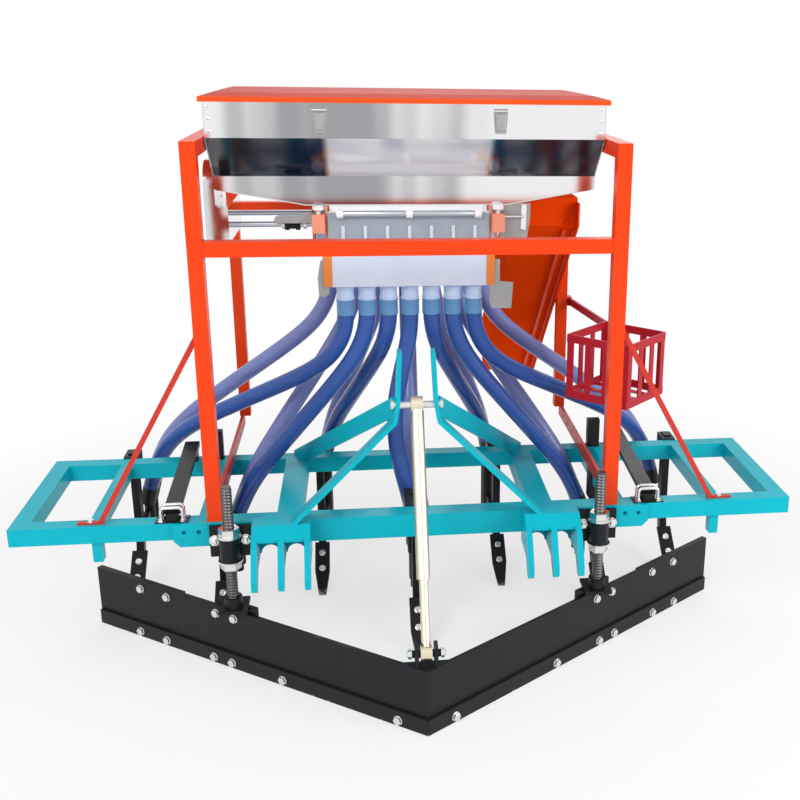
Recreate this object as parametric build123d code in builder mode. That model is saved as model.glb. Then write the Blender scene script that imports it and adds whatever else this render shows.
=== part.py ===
from build123d import *
import math
import os

os.makedirs("parts", exist_ok=True)

# Seven-row tractor seed drill with a V-shaped levelling blade in front.
# Sizes in millimetres, +Z up, the tractor side faces -Y. Heights start at the ground.
# Depths below are counted from the front face of the front bar and moved by Y_BASE,
# so that the origin lies under the middle of the whole machine.

# Toolbar
BAR = 50.0
BAR_DEPTH = 524.0
BAR_TOP = 445.0
BAR_LOW = BAR_TOP - BAR
SPAN_PLATE_T = 10.0
SPAN_PLATE_LOW = 377.0

# Rows
ROW_PITCH = 295.0
BAR_OVERHANG = 225.0
BAR_WIDTH = 2 * (3 * ROW_PITCH + BAR_OVERHANG)
MEMBER_POSITIONS = ((360.0, 70.0), (2 * ROW_PITCH, 40.0), (3 * ROW_PITCH + 5.0, 26.0))
SHANK_W = 24.0
SHANK_D = 40.0

# Three-point hitch: the two gaps of each bracket sit on the category 1 and 2 spreads
SPREAD_CAT_1 = 683.0
PRONG_T = 16.0
PRONG_STEP = 71.0
PRONG_MID = (SPREAD_CAT_1 + PRONG_STEP) / 2
PRONGS = (PRONG_MID - PRONG_STEP, PRONG_MID, PRONG_MID + PRONG_STEP)
HITCH_TOP = BAR_TOP + 10.0
HITCH_T = 10.0
HITCH_Y = -SPAN_PLATE_T - HITCH_T
LINK_HOLE_R = 11.2
LINK_Y = -95.0
LINK_Z = 388.0
TOP_LINK_R = 9.75
TOP_LINK_Z = 895.0

# Mast
MAST_Y0 = -65.0
MAST_Y1 = -15.0
MAST_Y = (MAST_Y0 + MAST_Y1) / 2
MAST_T = 12.0
MAST_TOP = 935.0
MAST_PIN_Z = 783.0
MAST_PIN_R = 10.0

# Levelling blade
APEX_Y = -416.0
WING_X = 962.0
WING_Y = 289.0
WING_H = 184.0
WING_T = 10.0
EDGE_H = 45.0
EDGE_T = 8.0
WING_SPLIT = 1000.0
LIFT = 80.0

# Screw jacks, each beside the outer prong of its hitch bracket
CLAMP_HALF = 56.0
CLAMP_GAP = 8.0
JACK_X = PRONGS[2] + PRONG_T / 2 + CLAMP_GAP + CLAMP_HALF
SPAN_PLATE_HALF = JACK_X + 155.0
JACK_Y = -45.0
SCREW_R = 16.0
SCREW_LOW = 205.0
SCREW_TOP = 567.0
SOCKET_H = 32.0
SOCKET_T = 9.0
SLEEVE_R = 28.0
SLEEVE_LOW = 350.0
SLEEVE_TOP = 420.0

# Hopper
HOPPER_HALF = 535.0
HOPPER_FRONT = 146.0
HOPPER_REAR = 672.0
TROUGH_Z = 1283.0
TROUGH_H = 79.0
SLOPE_H = 113.0
BAND_H = 100.0
HOPPER_TOP = TROUGH_Z + TROUGH_H + SLOPE_H + BAND_H
SHEET = 3.0
LID_GAP = 7.0
LID_T = 3.0
LID_CLEAR = 2.0
LID_SKIRT = 13.0
LID_HIP = 10.0
LID_EDGE = HOPPER_TOP + LID_CLEAR + LID_T
LID_LOW = LID_EDGE - LID_SKIRT
LID_TOP = LID_EDGE + LID_HIP

# Stand, close outside the hopper's ends
POST = 40.0
STAND_GAP = 4.0
POST_X = HOPPER_HALF + SHEET + STAND_GAP + POST / 2
POST_Y0 = 2.0
STAND_TOP = HOPPER_TOP - 98.0
CROSS_Z0 = 1184.0
LEG = 36.0
LEG_X = POST_X - 10.0
LEG_Y0 = 800.0

# Metering units
UNIT_FRONT_Y = 294.0
UNIT_REAR_Y = HOPPER_FRONT + HOPPER_REAR - UNIT_FRONT_Y
OUTLET_PITCH = 62.5
REAR_PITCH = 78.0
CHANNEL_HALF = 229.0
REAR_HALF = 3 * REAR_PITCH + CHANNEL_HALF - 3 * OUTLET_PITCH
CHANNEL_LOW = 1186.0
CHANNEL_TOP = 1264.0
SHAFT_Z = 1225.0
SHAFT_R = 8.0
ROLLER_R = 21.0
SPIGOT_LOW = 1003.0
SPIGOT_TOP = 1049.0
REAR_RISE = 67.0

# Hoses
HOSE_R = 25.0
HOSE_GAP = 60.0
BOOT_R = 17.0
BOOT_LOW = 110.0
CUP_LEN = 62.0

# Fits
RUN_FIT = 0.3
PIN_FIT = 0.15
EYE_FIT = 2.3

# Chain case
CASE_X0 = REAR_HALF + 54.5
CASE_X1 = LEG_X - LEG / 2 - STAND_GAP
CASE_REAR = 1395.0

# Direction of the right wing, and the machine's foremost point at the seam of the edge strips
WING_LEN = math.hypot(WING_X, WING_Y - APEX_Y)
UX = WING_X / WING_LEN
UY = (WING_Y - APEX_Y) / WING_LEN
SEAM = 0.5
APEX_FRONT = APEX_Y + (SEAM - EDGE_T * UY) / UX * UY - EDGE_T * UX
Y_BASE = -(APEX_FRONT + CASE_REAR) / 2


def block(x0, x1, y0, y1, z0, z1, mode=Mode.ADD):
    """A box given by its six faces."""
    with Locations(((x0 + x1) / 2, (y0 + y1) / 2 + Y_BASE, (z0 + z1) / 2)):
        Box(abs(x1 - x0), abs(y1 - y0), abs(z1 - z0), mode=mode)


def blocks(x0, x1, y0, y1, z0, z1, mode=Mode.ADD):
    """The same box on the right and on the left."""
    block(x0, x1, y0, y1, z0, z1, mode)
    block(-x1, -x0, y0, y1, z0, z1, mode)


def between(p, q, r, mode=Mode.ADD):
    """A round bar from point p to point q."""
    a = Vector(p[0], p[1] + Y_BASE, p[2])
    b = Vector(q[0], q[1] + Y_BASE, q[2])
    with BuildSketch(Plane(origin=a, z_dir=b - a)) as face_of:
        Circle(r)
    extrude(face_of.sketch, amount=(b - a).length, mode=mode)


def beam(p, q, w, h, side, mode=Mode.ADD):
    """A flat bar from p to q: w along the direction side, h across it."""
    a = Vector(p[0], p[1] + Y_BASE, p[2])
    b = Vector(q[0], q[1] + Y_BASE, q[2])
    with BuildSketch(Plane(origin=a, x_dir=side, z_dir=b - a)) as face_of:
        Rectangle(w, h)
    extrude(face_of.sketch, amount=(b - a).length, mode=mode)


def side_plate(points, x0, x1, mode=Mode.ADD):
    """A plate with its outline in the Y-Z plane, from x0 to x1."""
    with BuildSketch(Plane(origin=(x0, Y_BASE, 0), x_dir=(0, 1, 0), z_dir=(1, 0, 0))) as face_of:
        with BuildLine():
            Polyline(*points, close=True)
        make_face()
    extrude(face_of.sketch, amount=x1 - x0, mode=mode)


def front_plate(points, y0, y1, mode=Mode.ADD):
    """A plate with its outline in the X-Z plane, from y0 back to y1."""
    with BuildSketch(Plane(origin=(0, y1 + Y_BASE, 0), x_dir=(1, 0, 0), z_dir=(0, -1, 0))) as face_of:
        with BuildLine():
            Polyline(*points, close=True)
        make_face()
    extrude(face_of.sketch, amount=y1 - y0, mode=mode)


def top_plate(points, z0, z1, mode=Mode.ADD):
    """A plate with its outline in the X-Y plane, from z0 up to z1."""
    with BuildSketch(Plane(origin=(0, Y_BASE, z0))) as face_of:
        with BuildLine():
            Polyline(*points, close=True)
        make_face()
    extrude(face_of.sketch, amount=z1 - z0, mode=mode)


def mirrored(points):
    """An outline turned over to the left side."""
    return [(-a, b) for a, b in points]


def bent_sheet(points, t):
    """The outline of a bent sheet: the line itself and the same line moved t to its left."""
    def shifted(i):
        dirs = []
        if i > 0:
            d = (points[i][0] - points[i - 1][0], points[i][1] - points[i - 1][1])
            k = math.hypot(*d)
            dirs.append((-d[1] / k, d[0] / k))
        if i < len(points) - 1:
            d = (points[i + 1][0] - points[i][0], points[i + 1][1] - points[i][1])
            k = math.hypot(*d)
            dirs.append((-d[1] / k, d[0] / k))
        nx = sum(n[0] for n in dirs)
        ny = sum(n[1] for n in dirs)
        k = math.hypot(nx, ny)
        nx, ny = nx / k, ny / k
        m = t / (nx * dirs[0][0] + ny * dirs[0][1])
        return (points[i][0] + m * nx, points[i][1] + m * ny)
    return list(points) + [shifted(i) for i in reversed(range(len(points)))]


# Toolbar: front bar with its reinforced middle and two hanging lugs
with BuildPart() as toolbar_front:
    block(-BAR_WIDTH / 2, BAR_WIDTH / 2, 0, BAR, BAR_LOW, BAR_TOP)
    front_plate(
        [
            (-SPAN_PLATE_HALF, BAR_TOP),
            (-SPAN_PLATE_HALF, BAR_LOW),
            (-SPAN_PLATE_HALF + 18, SPAN_PLATE_LOW),
            (SPAN_PLATE_HALF - 18, SPAN_PLATE_LOW),
            (SPAN_PLATE_HALF, BAR_LOW),
            (SPAN_PLATE_HALF, BAR_TOP),
        ],
        -SPAN_PLATE_T,
        0,
    )
    block(-SPAN_PLATE_HALF + 18, SPAN_PLATE_HALF - 18, 0, BAR, SPAN_PLATE_LOW, BAR_LOW)
    for x in (SPAN_PLATE_HALF - 70, SPAN_PLATE_HALF - 30):
        for s in (-1, 1):
            between((s * x, -SPAN_PLATE_T, BAR_TOP - 25), (s * x, 0, BAR_TOP - 25), 6.5, Mode.SUBTRACT)
    blocks(3 * ROW_PITCH - 15, 3 * ROW_PITCH + 11, 8, BAR - 8, BAR_LOW - 60, BAR_LOW)
toolbar_front.part.label = "toolbar_front"
export_step(toolbar_front.part, "parts/toolbar_front.step")

with BuildPart() as toolbar_rear:
    block(-BAR_WIDTH / 2, BAR_WIDTH / 2, BAR_DEPTH - BAR, BAR_DEPTH, BAR_LOW, BAR_TOP)
toolbar_rear.part.label = "toolbar_rear"
export_step(toolbar_rear.part, "parts/toolbar_rear.step")

with BuildPart() as toolbar_ends:
    blocks(BAR_WIDTH / 2 - BAR, BAR_WIDTH / 2, BAR, BAR_DEPTH - BAR, BAR_LOW, BAR_TOP)
toolbar_ends.part.label = "toolbar_ends"
export_step(toolbar_ends.part, "parts/toolbar_ends.step")

with BuildPart() as toolbar_members:
    for x, w in MEMBER_POSITIONS:
        blocks(x - w / 2, x + w / 2, BAR, BAR_DEPTH - BAR, BAR_LOW, BAR_TOP)
toolbar_members.part.label = "toolbar_members"
export_step(toolbar_members.part, "parts/toolbar_members.step")

# Lower hitch: three tapered prongs a side, drilled in line for the link pin
SLOPE_Y = -122.0
SLOPE_Z = 412.0
HOOD_Y = -100.0
HOOD_T = 10.0
HOOD_Z = HITCH_TOP - (MAST_Y0 - HOOD_Y) * (HITCH_TOP - SLOPE_Z) / (MAST_Y0 - SLOPE_Y)
ARCH_R = (PRONG_STEP - PRONG_T) / 2 - 3.0
ARCH_Z = SPAN_PLATE_LOW - ARCH_R
PRONG_OUTLINE = [
    (HITCH_Y, HITCH_TOP), (MAST_Y0, HITCH_TOP), (SLOPE_Y, SLOPE_Z), (-165, 335), (-167, 308), (-152, 298),
    (-138, 304), (-104, 346), (HITCH_Y, ARCH_Z),
]


def hitch_bracket(s):
    """One bracket: arched back plate, hood, three drilled prongs and the shelf that carries the mast leg."""
    x0 = min(s * PRONGS[0], s * PRONGS[2]) - PRONG_T / 2
    x1 = max(s * PRONGS[0], s * PRONGS[2]) + PRONG_T / 2
    block(x0, x1, HITCH_Y, -SPAN_PLATE_T, ARCH_Z, HITCH_TOP)
    for n in (0, 1):
        middle = s * (PRONGS[n] + PRONG_STEP / 2)
        between((middle, HITCH_Y - 1, ARCH_Z), (middle, 1 - SPAN_PLATE_T, ARCH_Z), ARCH_R, Mode.SUBTRACT)
    block(x0, x1, MAST_Y0, HITCH_Y, HITCH_TOP - 8, HITCH_TOP)
    hood = [(MAST_Y0, HITCH_TOP), (HOOD_Y, HOOD_Z), (HOOD_Y, HOOD_Z - HOOD_T), (MAST_Y0, HITCH_TOP - HOOD_T)]
    side_plate(hood, x0, x1)
    for x in PRONGS:
        side_plate(PRONG_OUTLINE, s * x - PRONG_T / 2, s * x + PRONG_T / 2)
    between((x0 - 1, LINK_Y, LINK_Z), (x1 + 1, LINK_Y, LINK_Z), LINK_HOLE_R, Mode.SUBTRACT)


with BuildPart() as hitch_left:
    hitch_bracket(-1)
hitch_left.part.label = "hitch_left"
export_step(hitch_left.part, "parts/hitch_left.step")

with BuildPart() as hitch_right:
    hitch_bracket(1)
hitch_right.part.label = "hitch_right"
export_step(hitch_right.part, "parts/hitch_right.step")

# Mast: two bent flat bars, drilled for the top link and for the brace pin
MAST_FOOT = PRONG_MID - 26.0
MAST_LINE = [(51, MAST_TOP), (58, 790), (66, 742), (MAST_FOOT, HITCH_TOP)]
with BuildPart() as mast_plates:
    for s in (-1, 1):
        outline = bent_sheet(MAST_LINE, -MAST_T)
        front_plate([(s * a, b) for a, b in outline], MAST_Y0, MAST_Y1)
    block(-MAST_FOOT - 99, MAST_FOOT + 99, MAST_Y0 - 5, MAST_Y1 + 5, BAR_LOW, HITCH_TOP, Mode.SUBTRACT)
    between((-120, MAST_Y, MAST_PIN_Z), (120, MAST_Y, MAST_PIN_Z), MAST_PIN_R + PIN_FIT, Mode.SUBTRACT)
    between((-120, MAST_Y, TOP_LINK_Z), (120, MAST_Y, TOP_LINK_Z), TOP_LINK_R, Mode.SUBTRACT)
mast_plates.part.label = "mast_plates"
export_step(mast_plates.part, "parts/mast_plates.step")

with BuildPart() as mast_braces:
    for s in (-1, 1):
        foot = (s * (MEMBER_POSITIONS[0][0] + 5), BAR_DEPTH - 4, BAR_TOP - 15)
        beam((s * 34, MAST_Y - 20, MAST_PIN_Z + 17), foot, 50, 10, (0, 0, 1))
    block(-BAR_WIDTH / 2, BAR_WIDTH / 2, MAST_Y1, BAR_DEPTH, BAR_TOP, MAST_TOP, Mode.INTERSECT)
mast_braces.part.label = "mast_braces"
export_step(mast_braces.part, "parts/mast_braces.step")

with BuildPart() as mast_pin:
    between((-69, MAST_Y, MAST_PIN_Z), (69, MAST_Y, MAST_PIN_Z), MAST_PIN_R)
    for s in (-1, 1):
        between((s * 63, MAST_Y, MAST_PIN_Z), (s * 71, MAST_Y, MAST_PIN_Z), 15)
mast_pin.part.label = "mast_pin"
export_step(mast_pin.part, "parts/mast_pin.step")

# Levelling blade: two wings that meet at the apex
def on_wing(run, out):
    """A point of the right wing: run along its front face, out in front of it."""
    return (run * UX + out * UY, APEX_Y + run * UY - out * UX)


def apex(out):
    """Where a line parallel to the front face meets the middle plane."""
    return (0.0, APEX_Y - out / UX)


def wing_outline():
    return [apex(0), on_wing(WING_SPLIT, 0), on_wing(WING_SPLIT, -WING_T), apex(-WING_T)]


with BuildPart() as blade_right:
    top_plate(wing_outline(), 0, WING_H)
blade_right.part.label = "blade_right"
export_step(blade_right.part, "parts/blade_right.step")

with BuildPart() as blade_left:
    top_plate(mirrored(wing_outline()), 0, WING_H)
blade_left.part.label = "blade_left"
export_step(blade_left.part, "parts/blade_left.step")

with BuildPart() as blade_extensions:
    plate = [
        on_wing(WING_SPLIT, 0), on_wing(WING_LEN, 0), on_wing(WING_LEN, -WING_T - 8),
        on_wing(WING_SPLIT - 150, -WING_T - 8), on_wing(WING_SPLIT - 150, -WING_T),
        on_wing(WING_SPLIT, -WING_T),
    ]
    top_plate(plate, 0, WING_H)
    top_plate(mirrored(plate), 0, WING_H)
blade_extensions.part.label = "blade_extensions"
export_step(blade_extensions.part, "parts/blade_extensions.step")

with BuildPart() as blade_edges:
    strip = [
        on_wing(SEAM / UX, 0), on_wing(WING_LEN - 3, 0),
        on_wing(WING_LEN - 3, EDGE_T), on_wing((SEAM - EDGE_T * UY) / UX, EDGE_T),
    ]
    top_plate(strip, 0, EDGE_H)
    top_plate(mirrored(strip), 0, EDGE_H)
blade_edges.part.label = "blade_edges"
export_step(blade_edges.part, "parts/blade_edges.step")

FOOT_RUN = JACK_X / UX
with BuildPart() as blade_feet:
    plate = [
        on_wing(FOOT_RUN - 70, -WING_T), on_wing(FOOT_RUN + 70, -WING_T),
        on_wing(FOOT_RUN + 70, -WING_T - 10), on_wing(FOOT_RUN - 70, -WING_T - 10),
    ]
    for outline in (plate, mirrored(plate)):
        top_plate(outline, 60, SCREW_LOW)
    blocks(JACK_X - 40, JACK_X + 40, JACK_Y - 32, 12, SCREW_LOW - 10, SCREW_LOW)
    for s in (-1, 1):
        low = (s * JACK_X, JACK_Y, SCREW_LOW)
        top = (s * JACK_X, JACK_Y, SCREW_LOW + SOCKET_H)
        between(low, top, SCREW_R + SOCKET_T)
        between(low, top, SCREW_R + RUN_FIT, Mode.SUBTRACT)
blade_feet.part.label = "blade_feet"
export_step(blade_feet.part, "parts/blade_feet.step")

with BuildPart() as lift_screws:
    for s in (-1, 1):
        between((s * JACK_X, JACK_Y, SCREW_LOW), (s * JACK_X, JACK_Y, SCREW_TOP), SCREW_R)
lift_screws.part.label = "lift_screws"
export_step(lift_screws.part, "parts/lift_screws.step")

# Apex clevis with its pin, for the foot of the brace
EYE_Y = -370.0
EYE_Z = 212.0
with BuildPart() as apex_clevis:
    corner = apex(-WING_T)[1] + 60 * UY / UX
    top_plate([apex(-WING_T), (60, corner), (-60, corner)], WING_H - 74, WING_H)
    blocks(20, 30, EYE_Y - 24, EYE_Y + 18, WING_H, EYE_Z + 26)
    between((-38, EYE_Y, EYE_Z), (38, EYE_Y, EYE_Z), MAST_PIN_R)
apex_clevis.part.label = "apex_clevis"
export_step(apex_clevis.part, "parts/apex_clevis.step")

def screw_bore(s):
    """Bores the running fit of a lift screw."""
    ends = [(s * JACK_X, JACK_Y, z) for z in (SCREW_LOW, SCREW_TOP)]
    between(ends[0], ends[1], SCREW_R + RUN_FIT, Mode.SUBTRACT)


# Screw-jack clamps on the front bar and the flange nuts on their screws
with BuildPart() as jack_clamps:
    blocks(JACK_X - CLAMP_HALF, JACK_X + CLAMP_HALF, HITCH_Y, -SPAN_PLATE_T, SLEEVE_LOW - 2, BAR_TOP - 5)
    for s in (-1, 1):
        between((s * JACK_X, JACK_Y, SLEEVE_LOW), (s * JACK_X, JACK_Y, SLEEVE_TOP), SLEEVE_R)
    blocks(JACK_X - 23, JACK_X + 23, JACK_Y, HITCH_Y, SLEEVE_LOW, SLEEVE_TOP)
    for s in (-1, 1):
        screw_bore(s)
jack_clamps.part.label = "jack_clamps"
export_step(jack_clamps.part, "parts/jack_clamps.step")

with BuildPart() as jack_nuts:
    for s in (-1, 1):
        for z, up in ((SLEEVE_TOP, 1), (SLEEVE_LOW, -1)):
            between((s * JACK_X, JACK_Y, z), (s * JACK_X, JACK_Y, z + up * 5), 33)
            seat = (s * JACK_X, JACK_Y + Y_BASE, z + up * 5)
            with BuildSketch(Plane(origin=seat, z_dir=(0, 0, up))) as face_of:
                RegularPolygon(25, 6, major_radius=False)
            extrude(face_of.sketch, amount=20)
        screw_bore(s)
    block(-SPAN_PLATE_HALF, SPAN_PLATE_HALF, HITCH_Y, BAR, SCREW_LOW, SCREW_TOP, Mode.SUBTRACT)
jack_nuts.part.label = "jack_nuts"
export_step(jack_nuts.part, "parts/jack_nuts.step")

# Brace from the mast pin to the apex: a sleeve with an eye, and a rod that slides in it
BRACE_LEN = math.hypot(EYE_Y - MAST_Y, EYE_Z - MAST_PIN_Z)
BRACE_DY = (EYE_Y - MAST_Y) / BRACE_LEN
BRACE_DZ = (EYE_Z - MAST_PIN_Z) / BRACE_LEN


def on_brace(run):
    return (0.0, MAST_Y + run * BRACE_DY, MAST_PIN_Z + run * BRACE_DZ)


SLEEVE_END = 470.0
ROD_START = 330.0
ROD_R = 12.0
with BuildPart() as brace_sleeve:
    between((-16, MAST_Y, MAST_PIN_Z), (16, MAST_Y, MAST_PIN_Z), 24)
    between(on_brace(16), on_brace(SLEEVE_END), 18)
    between(on_brace(60), on_brace(SLEEVE_END + 1), ROD_R + RUN_FIT, Mode.SUBTRACT)
    between((-30, MAST_Y, MAST_PIN_Z), (30, MAST_Y, MAST_PIN_Z), MAST_PIN_R + RUN_FIT, Mode.SUBTRACT)
brace_sleeve.part.label = "brace_sleeve"
export_step(brace_sleeve.part, "parts/brace_sleeve.step")

with BuildPart() as brace_rod:
    between(on_brace(ROD_START), on_brace(BRACE_LEN - 10), ROD_R)
    between((-15, EYE_Y, EYE_Z), (15, EYE_Y, EYE_Z), 21)
    between((-30, EYE_Y, EYE_Z), (30, EYE_Y, EYE_Z), MAST_PIN_R + EYE_FIT, Mode.SUBTRACT)
brace_rod.part.label = "brace_rod"
export_step(brace_rod.part, "parts/brace_rod.step")

# Tines: a cranked shank, a pointed shovel along its lower face, a collar and a boot
# Each row: centre, front face of the shank, face of the bar that the collar bears on
REAR_SHANK = BAR_DEPTH + 20.0
ROWS = (
    (-3 * ROW_PITCH, REAR_SHANK, BAR_DEPTH),
    (-2 * ROW_PITCH, REAR_SHANK - 247, None),
    (-1 * ROW_PITCH, REAR_SHANK, BAR_DEPTH),
    (0.0, REAR_SHANK - 422, BAR),
    (1 * ROW_PITCH, REAR_SHANK, BAR_DEPTH),
    (2 * ROW_PITCH, REAR_SHANK - 247, None),
    (3 * ROW_PITCH, REAR_SHANK, BAR_DEPTH),
)
TIP_BACK = 164.0
SHOVEL_ANGLE = math.radians(40.0)
SHOVEL_LEN = 190.0
SHOVEL_T = 8.0
CT = math.cos(SHOVEL_ANGLE)
ST = math.sin(SHOVEL_ANGLE)


def on_shovel(face, run, depth):
    """A point run up the shovel from its tip and depth behind its front face."""
    return (face - TIP_BACK + run * CT + depth * ST, run * ST - depth * CT)


def shank_top(bar_face):
    return BAR_LOW if bar_face is None else BAR_TOP + 10.0


with BuildPart() as tines:
    for x, face, bar_face in ROWS:
        top = shank_top(bar_face)
        outline = [
            (face, top), (face, 168), on_shovel(face, SHOVEL_LEN, SHOVEL_T), on_shovel(face, 70, SHOVEL_T),
            on_shovel(face, 70, SHOVEL_T + 20), on_shovel(face, SHOVEL_LEN + 10, SHOVEL_T + 30),
            (face + SHANK_D, 165), (face + SHANK_D, top),
        ]
        side_plate(outline, x - SHANK_W / 2, x + SHANK_W / 2)
tines.part.label = "tines"
export_step(tines.part, "parts/tines.step")

with BuildPart() as shovels:
    for x, face, bar_face in ROWS:
        side_plate(
            [
                on_shovel(face, 0, 0), on_shovel(face, SHOVEL_LEN, 0),
                on_shovel(face, SHOVEL_LEN, SHOVEL_T), on_shovel(face, 0, SHOVEL_T),
            ],
            x - 24,
            x + 24,
        )
        for s in (-1, 1):
            tip = face - TIP_BACK
            near, far = x + s * 24, x + s * 60
            cut = [(x + s * 5, tip - 30), (far, tip - 30), (far, tip + 70), (near, tip + 70)]
            top_plate(cut, -40, 80, Mode.SUBTRACT)
    block(-1200, 1200, -400, 900, 0, 400, Mode.INTERSECT)
shovels.part.label = "shovels"
export_step(shovels.part, "parts/shovels.step")

with BuildPart() as tine_clamps:
    for x, face, bar_face in ROWS:
        if bar_face is None:
            block(x - 26, x + 26, face - 12, face + SHANK_D + 12, 335, BAR_LOW)
            for s in (-1, 1):
                block(x + s * 20, x + s * 26, face - 12, face + SHANK_D + 12, BAR_LOW, BAR_TOP)
        else:
            half = 22 if abs(x) > 2.5 * ROW_PITCH else 34
            block(x - half, x + half, bar_face, face + SHANK_D + 12, 385, 450)
        block(x - SHANK_W / 2, x + SHANK_W / 2, face, face + SHANK_D, 300, shank_top(bar_face), Mode.SUBTRACT)
tine_clamps.part.label = "tine_clamps"
export_step(tine_clamps.part, "parts/tine_clamps.step")


# Route of a hose: lengths of its runs against each other, and how far each leans
LEAN_NEAR = (
    (0.76, 0.0), (0.76, 0.27), (0.76, 0.53), (0.8, 0.76), (1.0, 0.91), (1.5, 0.98),
    (2.0, 1.0), (1.5, 0.985), (1.0, 0.93), (0.8, 0.83), (0.76, 0.71), (0.7, 0.6),
)
LEAN_FAR = (
    (0.76, 0.0), (0.76, 0.28), (0.76, 0.56), (0.8, 0.8), (1.0, 0.94), (1.5, 0.99),
    (2.0, 1.0), (1.5, 0.97), (1.0, 0.88), (0.8, 0.74), (0.76, 0.58), (0.76, 0.43), (0.7, 0.3),
)
MIDDLE_BOW = -55.0


def hose_points(start, end, profile, bow):
    """Corner points of a hose that leaves straight down, leans over and arrives leaning a little."""
    first = profile[0][0]
    rest = sum(r for r, k in profile) - first
    reach = math.hypot(end[0] - start[0], end[1] - start[1])
    fall = start[2] - end[2]
    low = 0.0
    high = math.radians(110.0)
    for step in range(60):
        lean = (low + high) / 2
        out = sum(r * math.sin(k * lean) for r, k in profile)
        down = sum(r * math.cos(k * lean) for r, k in profile)
        if out * fall > down * reach:
            high = lean
        else:
            low = lean
    unit = fall / down
    points = [start]
    done = -first
    x, y, z = start
    for r, k in profile:
        side = unit * r * math.sin(k * lean) / reach
        x += side * (end[0] - start[0])
        y += side * (end[1] - start[1])
        z -= unit * r * math.cos(k * lean)
        done += r
        points.append((x + bow * math.sin(math.pi * done / rest) ** 2, y, z))
    points[-1] = end
    return points


# Where the seed hose of each row ends: inward from the tine, behind its front face and above the ground
def hose_end(row, face, bar_face):
    inward = {0: 0.0, 1: 27.0, 2: 52.0, 3: 30.0}[abs(row)]
    behind = {0: 86.0, 1: 100.0, 2: 76.0, 3: 100.0}[abs(row)]
    height = {0: 290.0, 1: 430.0, 2: 320.0, 3: 300.0}[abs(row)]
    x = row * ROW_PITCH
    return (x - math.copysign(inward, row), face + behind, height)


ROUTES = {}
for index, (x, face, bar_face) in enumerate(ROWS):
    row = index - 3
    profile = LEAN_FAR if abs(row) == 3 else LEAN_NEAR
    end = hose_end(row, face, bar_face)
    start = (row * OUTLET_PITCH, UNIT_FRONT_Y, SPIGOT_LOW)
    ROUTES["seed", index + 1] = hose_points(start, end, profile, MIDDLE_BOW if row == 0 else 0.0)
    gap = 54.0 if bar_face is None else HOSE_GAP
    end = (end[0], end[1] + gap, end[2])
    start = (row * REAR_PITCH, UNIT_REAR_Y, SPIGOT_LOW + REAR_RISE)
    ROUTES["feed", index + 1] = hose_points(start, end, profile, 0.0)

# Boots: a cup on the end of each hose, a drop tube below it and a bracket to the tine
with BuildPart() as boots:
    for index, (x, face, bar_face) in enumerate(ROWS):
        tubes = []
        for kind in ("seed", "feed"):
            near, end = ROUTES[kind, index + 1][-2:]
            run = math.dist(near, end)
            way = [(b - a) / run for a, b in zip(near, end)]
            foot = tuple(c + CUP_LEN * d for c, d in zip(end, way))
            knee = tuple(c + (CUP_LEN - 1.2 * BOOT_R) * d for c, d in zip(end, way))
            between(end, foot, HOSE_R)
            between((knee[0], knee[1], BOOT_LOW), knee, BOOT_R)
            tubes.append(knee)
        (sx, sy, sz), (fx, fy, fz) = tubes
        block(sx - 6, sx + 6, sy, fy, 140, 220)
        side = max(x - SHANK_W / 2, min(x + SHANK_W / 2, sx))
        block(min(sx, side) - 6, max(sx, side) + 6, face + SHANK_D, sy, 170, 220)
boots.part.label = "boots"
export_step(boots.part, "parts/boots.step")

# Stand of square tube that carries the hopper
with BuildPart() as stand_posts:
    blocks(POST_X - POST / 2, POST_X + POST / 2, POST_Y0, POST_Y0 + POST, BAR_TOP, STAND_TOP)
    blocks(LEG_X - LEG / 2, LEG_X + LEG / 2, LEG_Y0, LEG_Y0 + LEG, BAR_TOP + 40, STAND_TOP - POST)
stand_posts.part.label = "stand_posts"
export_step(stand_posts.part, "parts/stand_posts.step")

with BuildPart() as stand_rails:
    blocks(POST_X - POST / 2, POST_X + POST / 2, POST_Y0 + POST, LEG_Y0 + LEG, STAND_TOP - POST, STAND_TOP)
    half = POST_X - POST / 2
    block(-half, half, POST_Y0, POST_Y0 + POST, CROSS_Z0, CROSS_Z0 + POST)
    half = LEG_X - LEG / 2
    block(-half, half, LEG_Y0, LEG_Y0 + LEG, CROSS_Z0, CROSS_Z0 + LEG)
stand_rails.part.label = "stand_rails"
export_step(stand_rails.part, "parts/stand_rails.step")

with BuildPart() as foot_rails:
    blocks(POST_X - 5, POST_X + 5, POST_Y0 + POST, LEG_Y0 + LEG, BAR_TOP, BAR_TOP + 40)
    for n in range(9):
        y = POST_Y0 + POST + 60 + n * 80
        between((-POST_X - 10, y, BAR_TOP + 22), (POST_X + 10, y, BAR_TOP + 22), 6, Mode.SUBTRACT)
foot_rails.part.label = "foot_rails"
export_step(foot_rails.part, "parts/foot_rails.step")

with BuildPart() as side_stays:
    x = POST_X + POST / 2
    foot = 3 * ROW_PITCH
    stay = [(x, 975), (x, 945), (foot - 25, BAR_TOP + 6), (foot - 25, BAR_TOP), (foot + 45, BAR_TOP),
            (foot + 45, BAR_TOP + 6), (foot - 9, BAR_TOP + 6)]
    front_plate(stay, POST_Y0 + 12, POST_Y0 + 28)
    front_plate(mirrored(stay), POST_Y0 + 12, POST_Y0 + 28)
side_stays.part.label = "side_stays"
export_step(side_stays.part, "parts/side_stays.step")

# Hopper: front and rear sheets, ends, the ridge between the two troughs and their floors
FRONT_LINE = [
    (HOPPER_FRONT, HOPPER_TOP), (HOPPER_FRONT, HOPPER_TOP - BAND_H),
    (UNIT_FRONT_Y - 24, TROUGH_Z + TROUGH_H), (UNIT_FRONT_Y - 19, TROUGH_Z),
]
MIDDLE = (HOPPER_FRONT + HOPPER_REAR) / 2


def to_rear(points):
    return [(2 * MIDDLE - a, b) for a, b in points]


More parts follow.
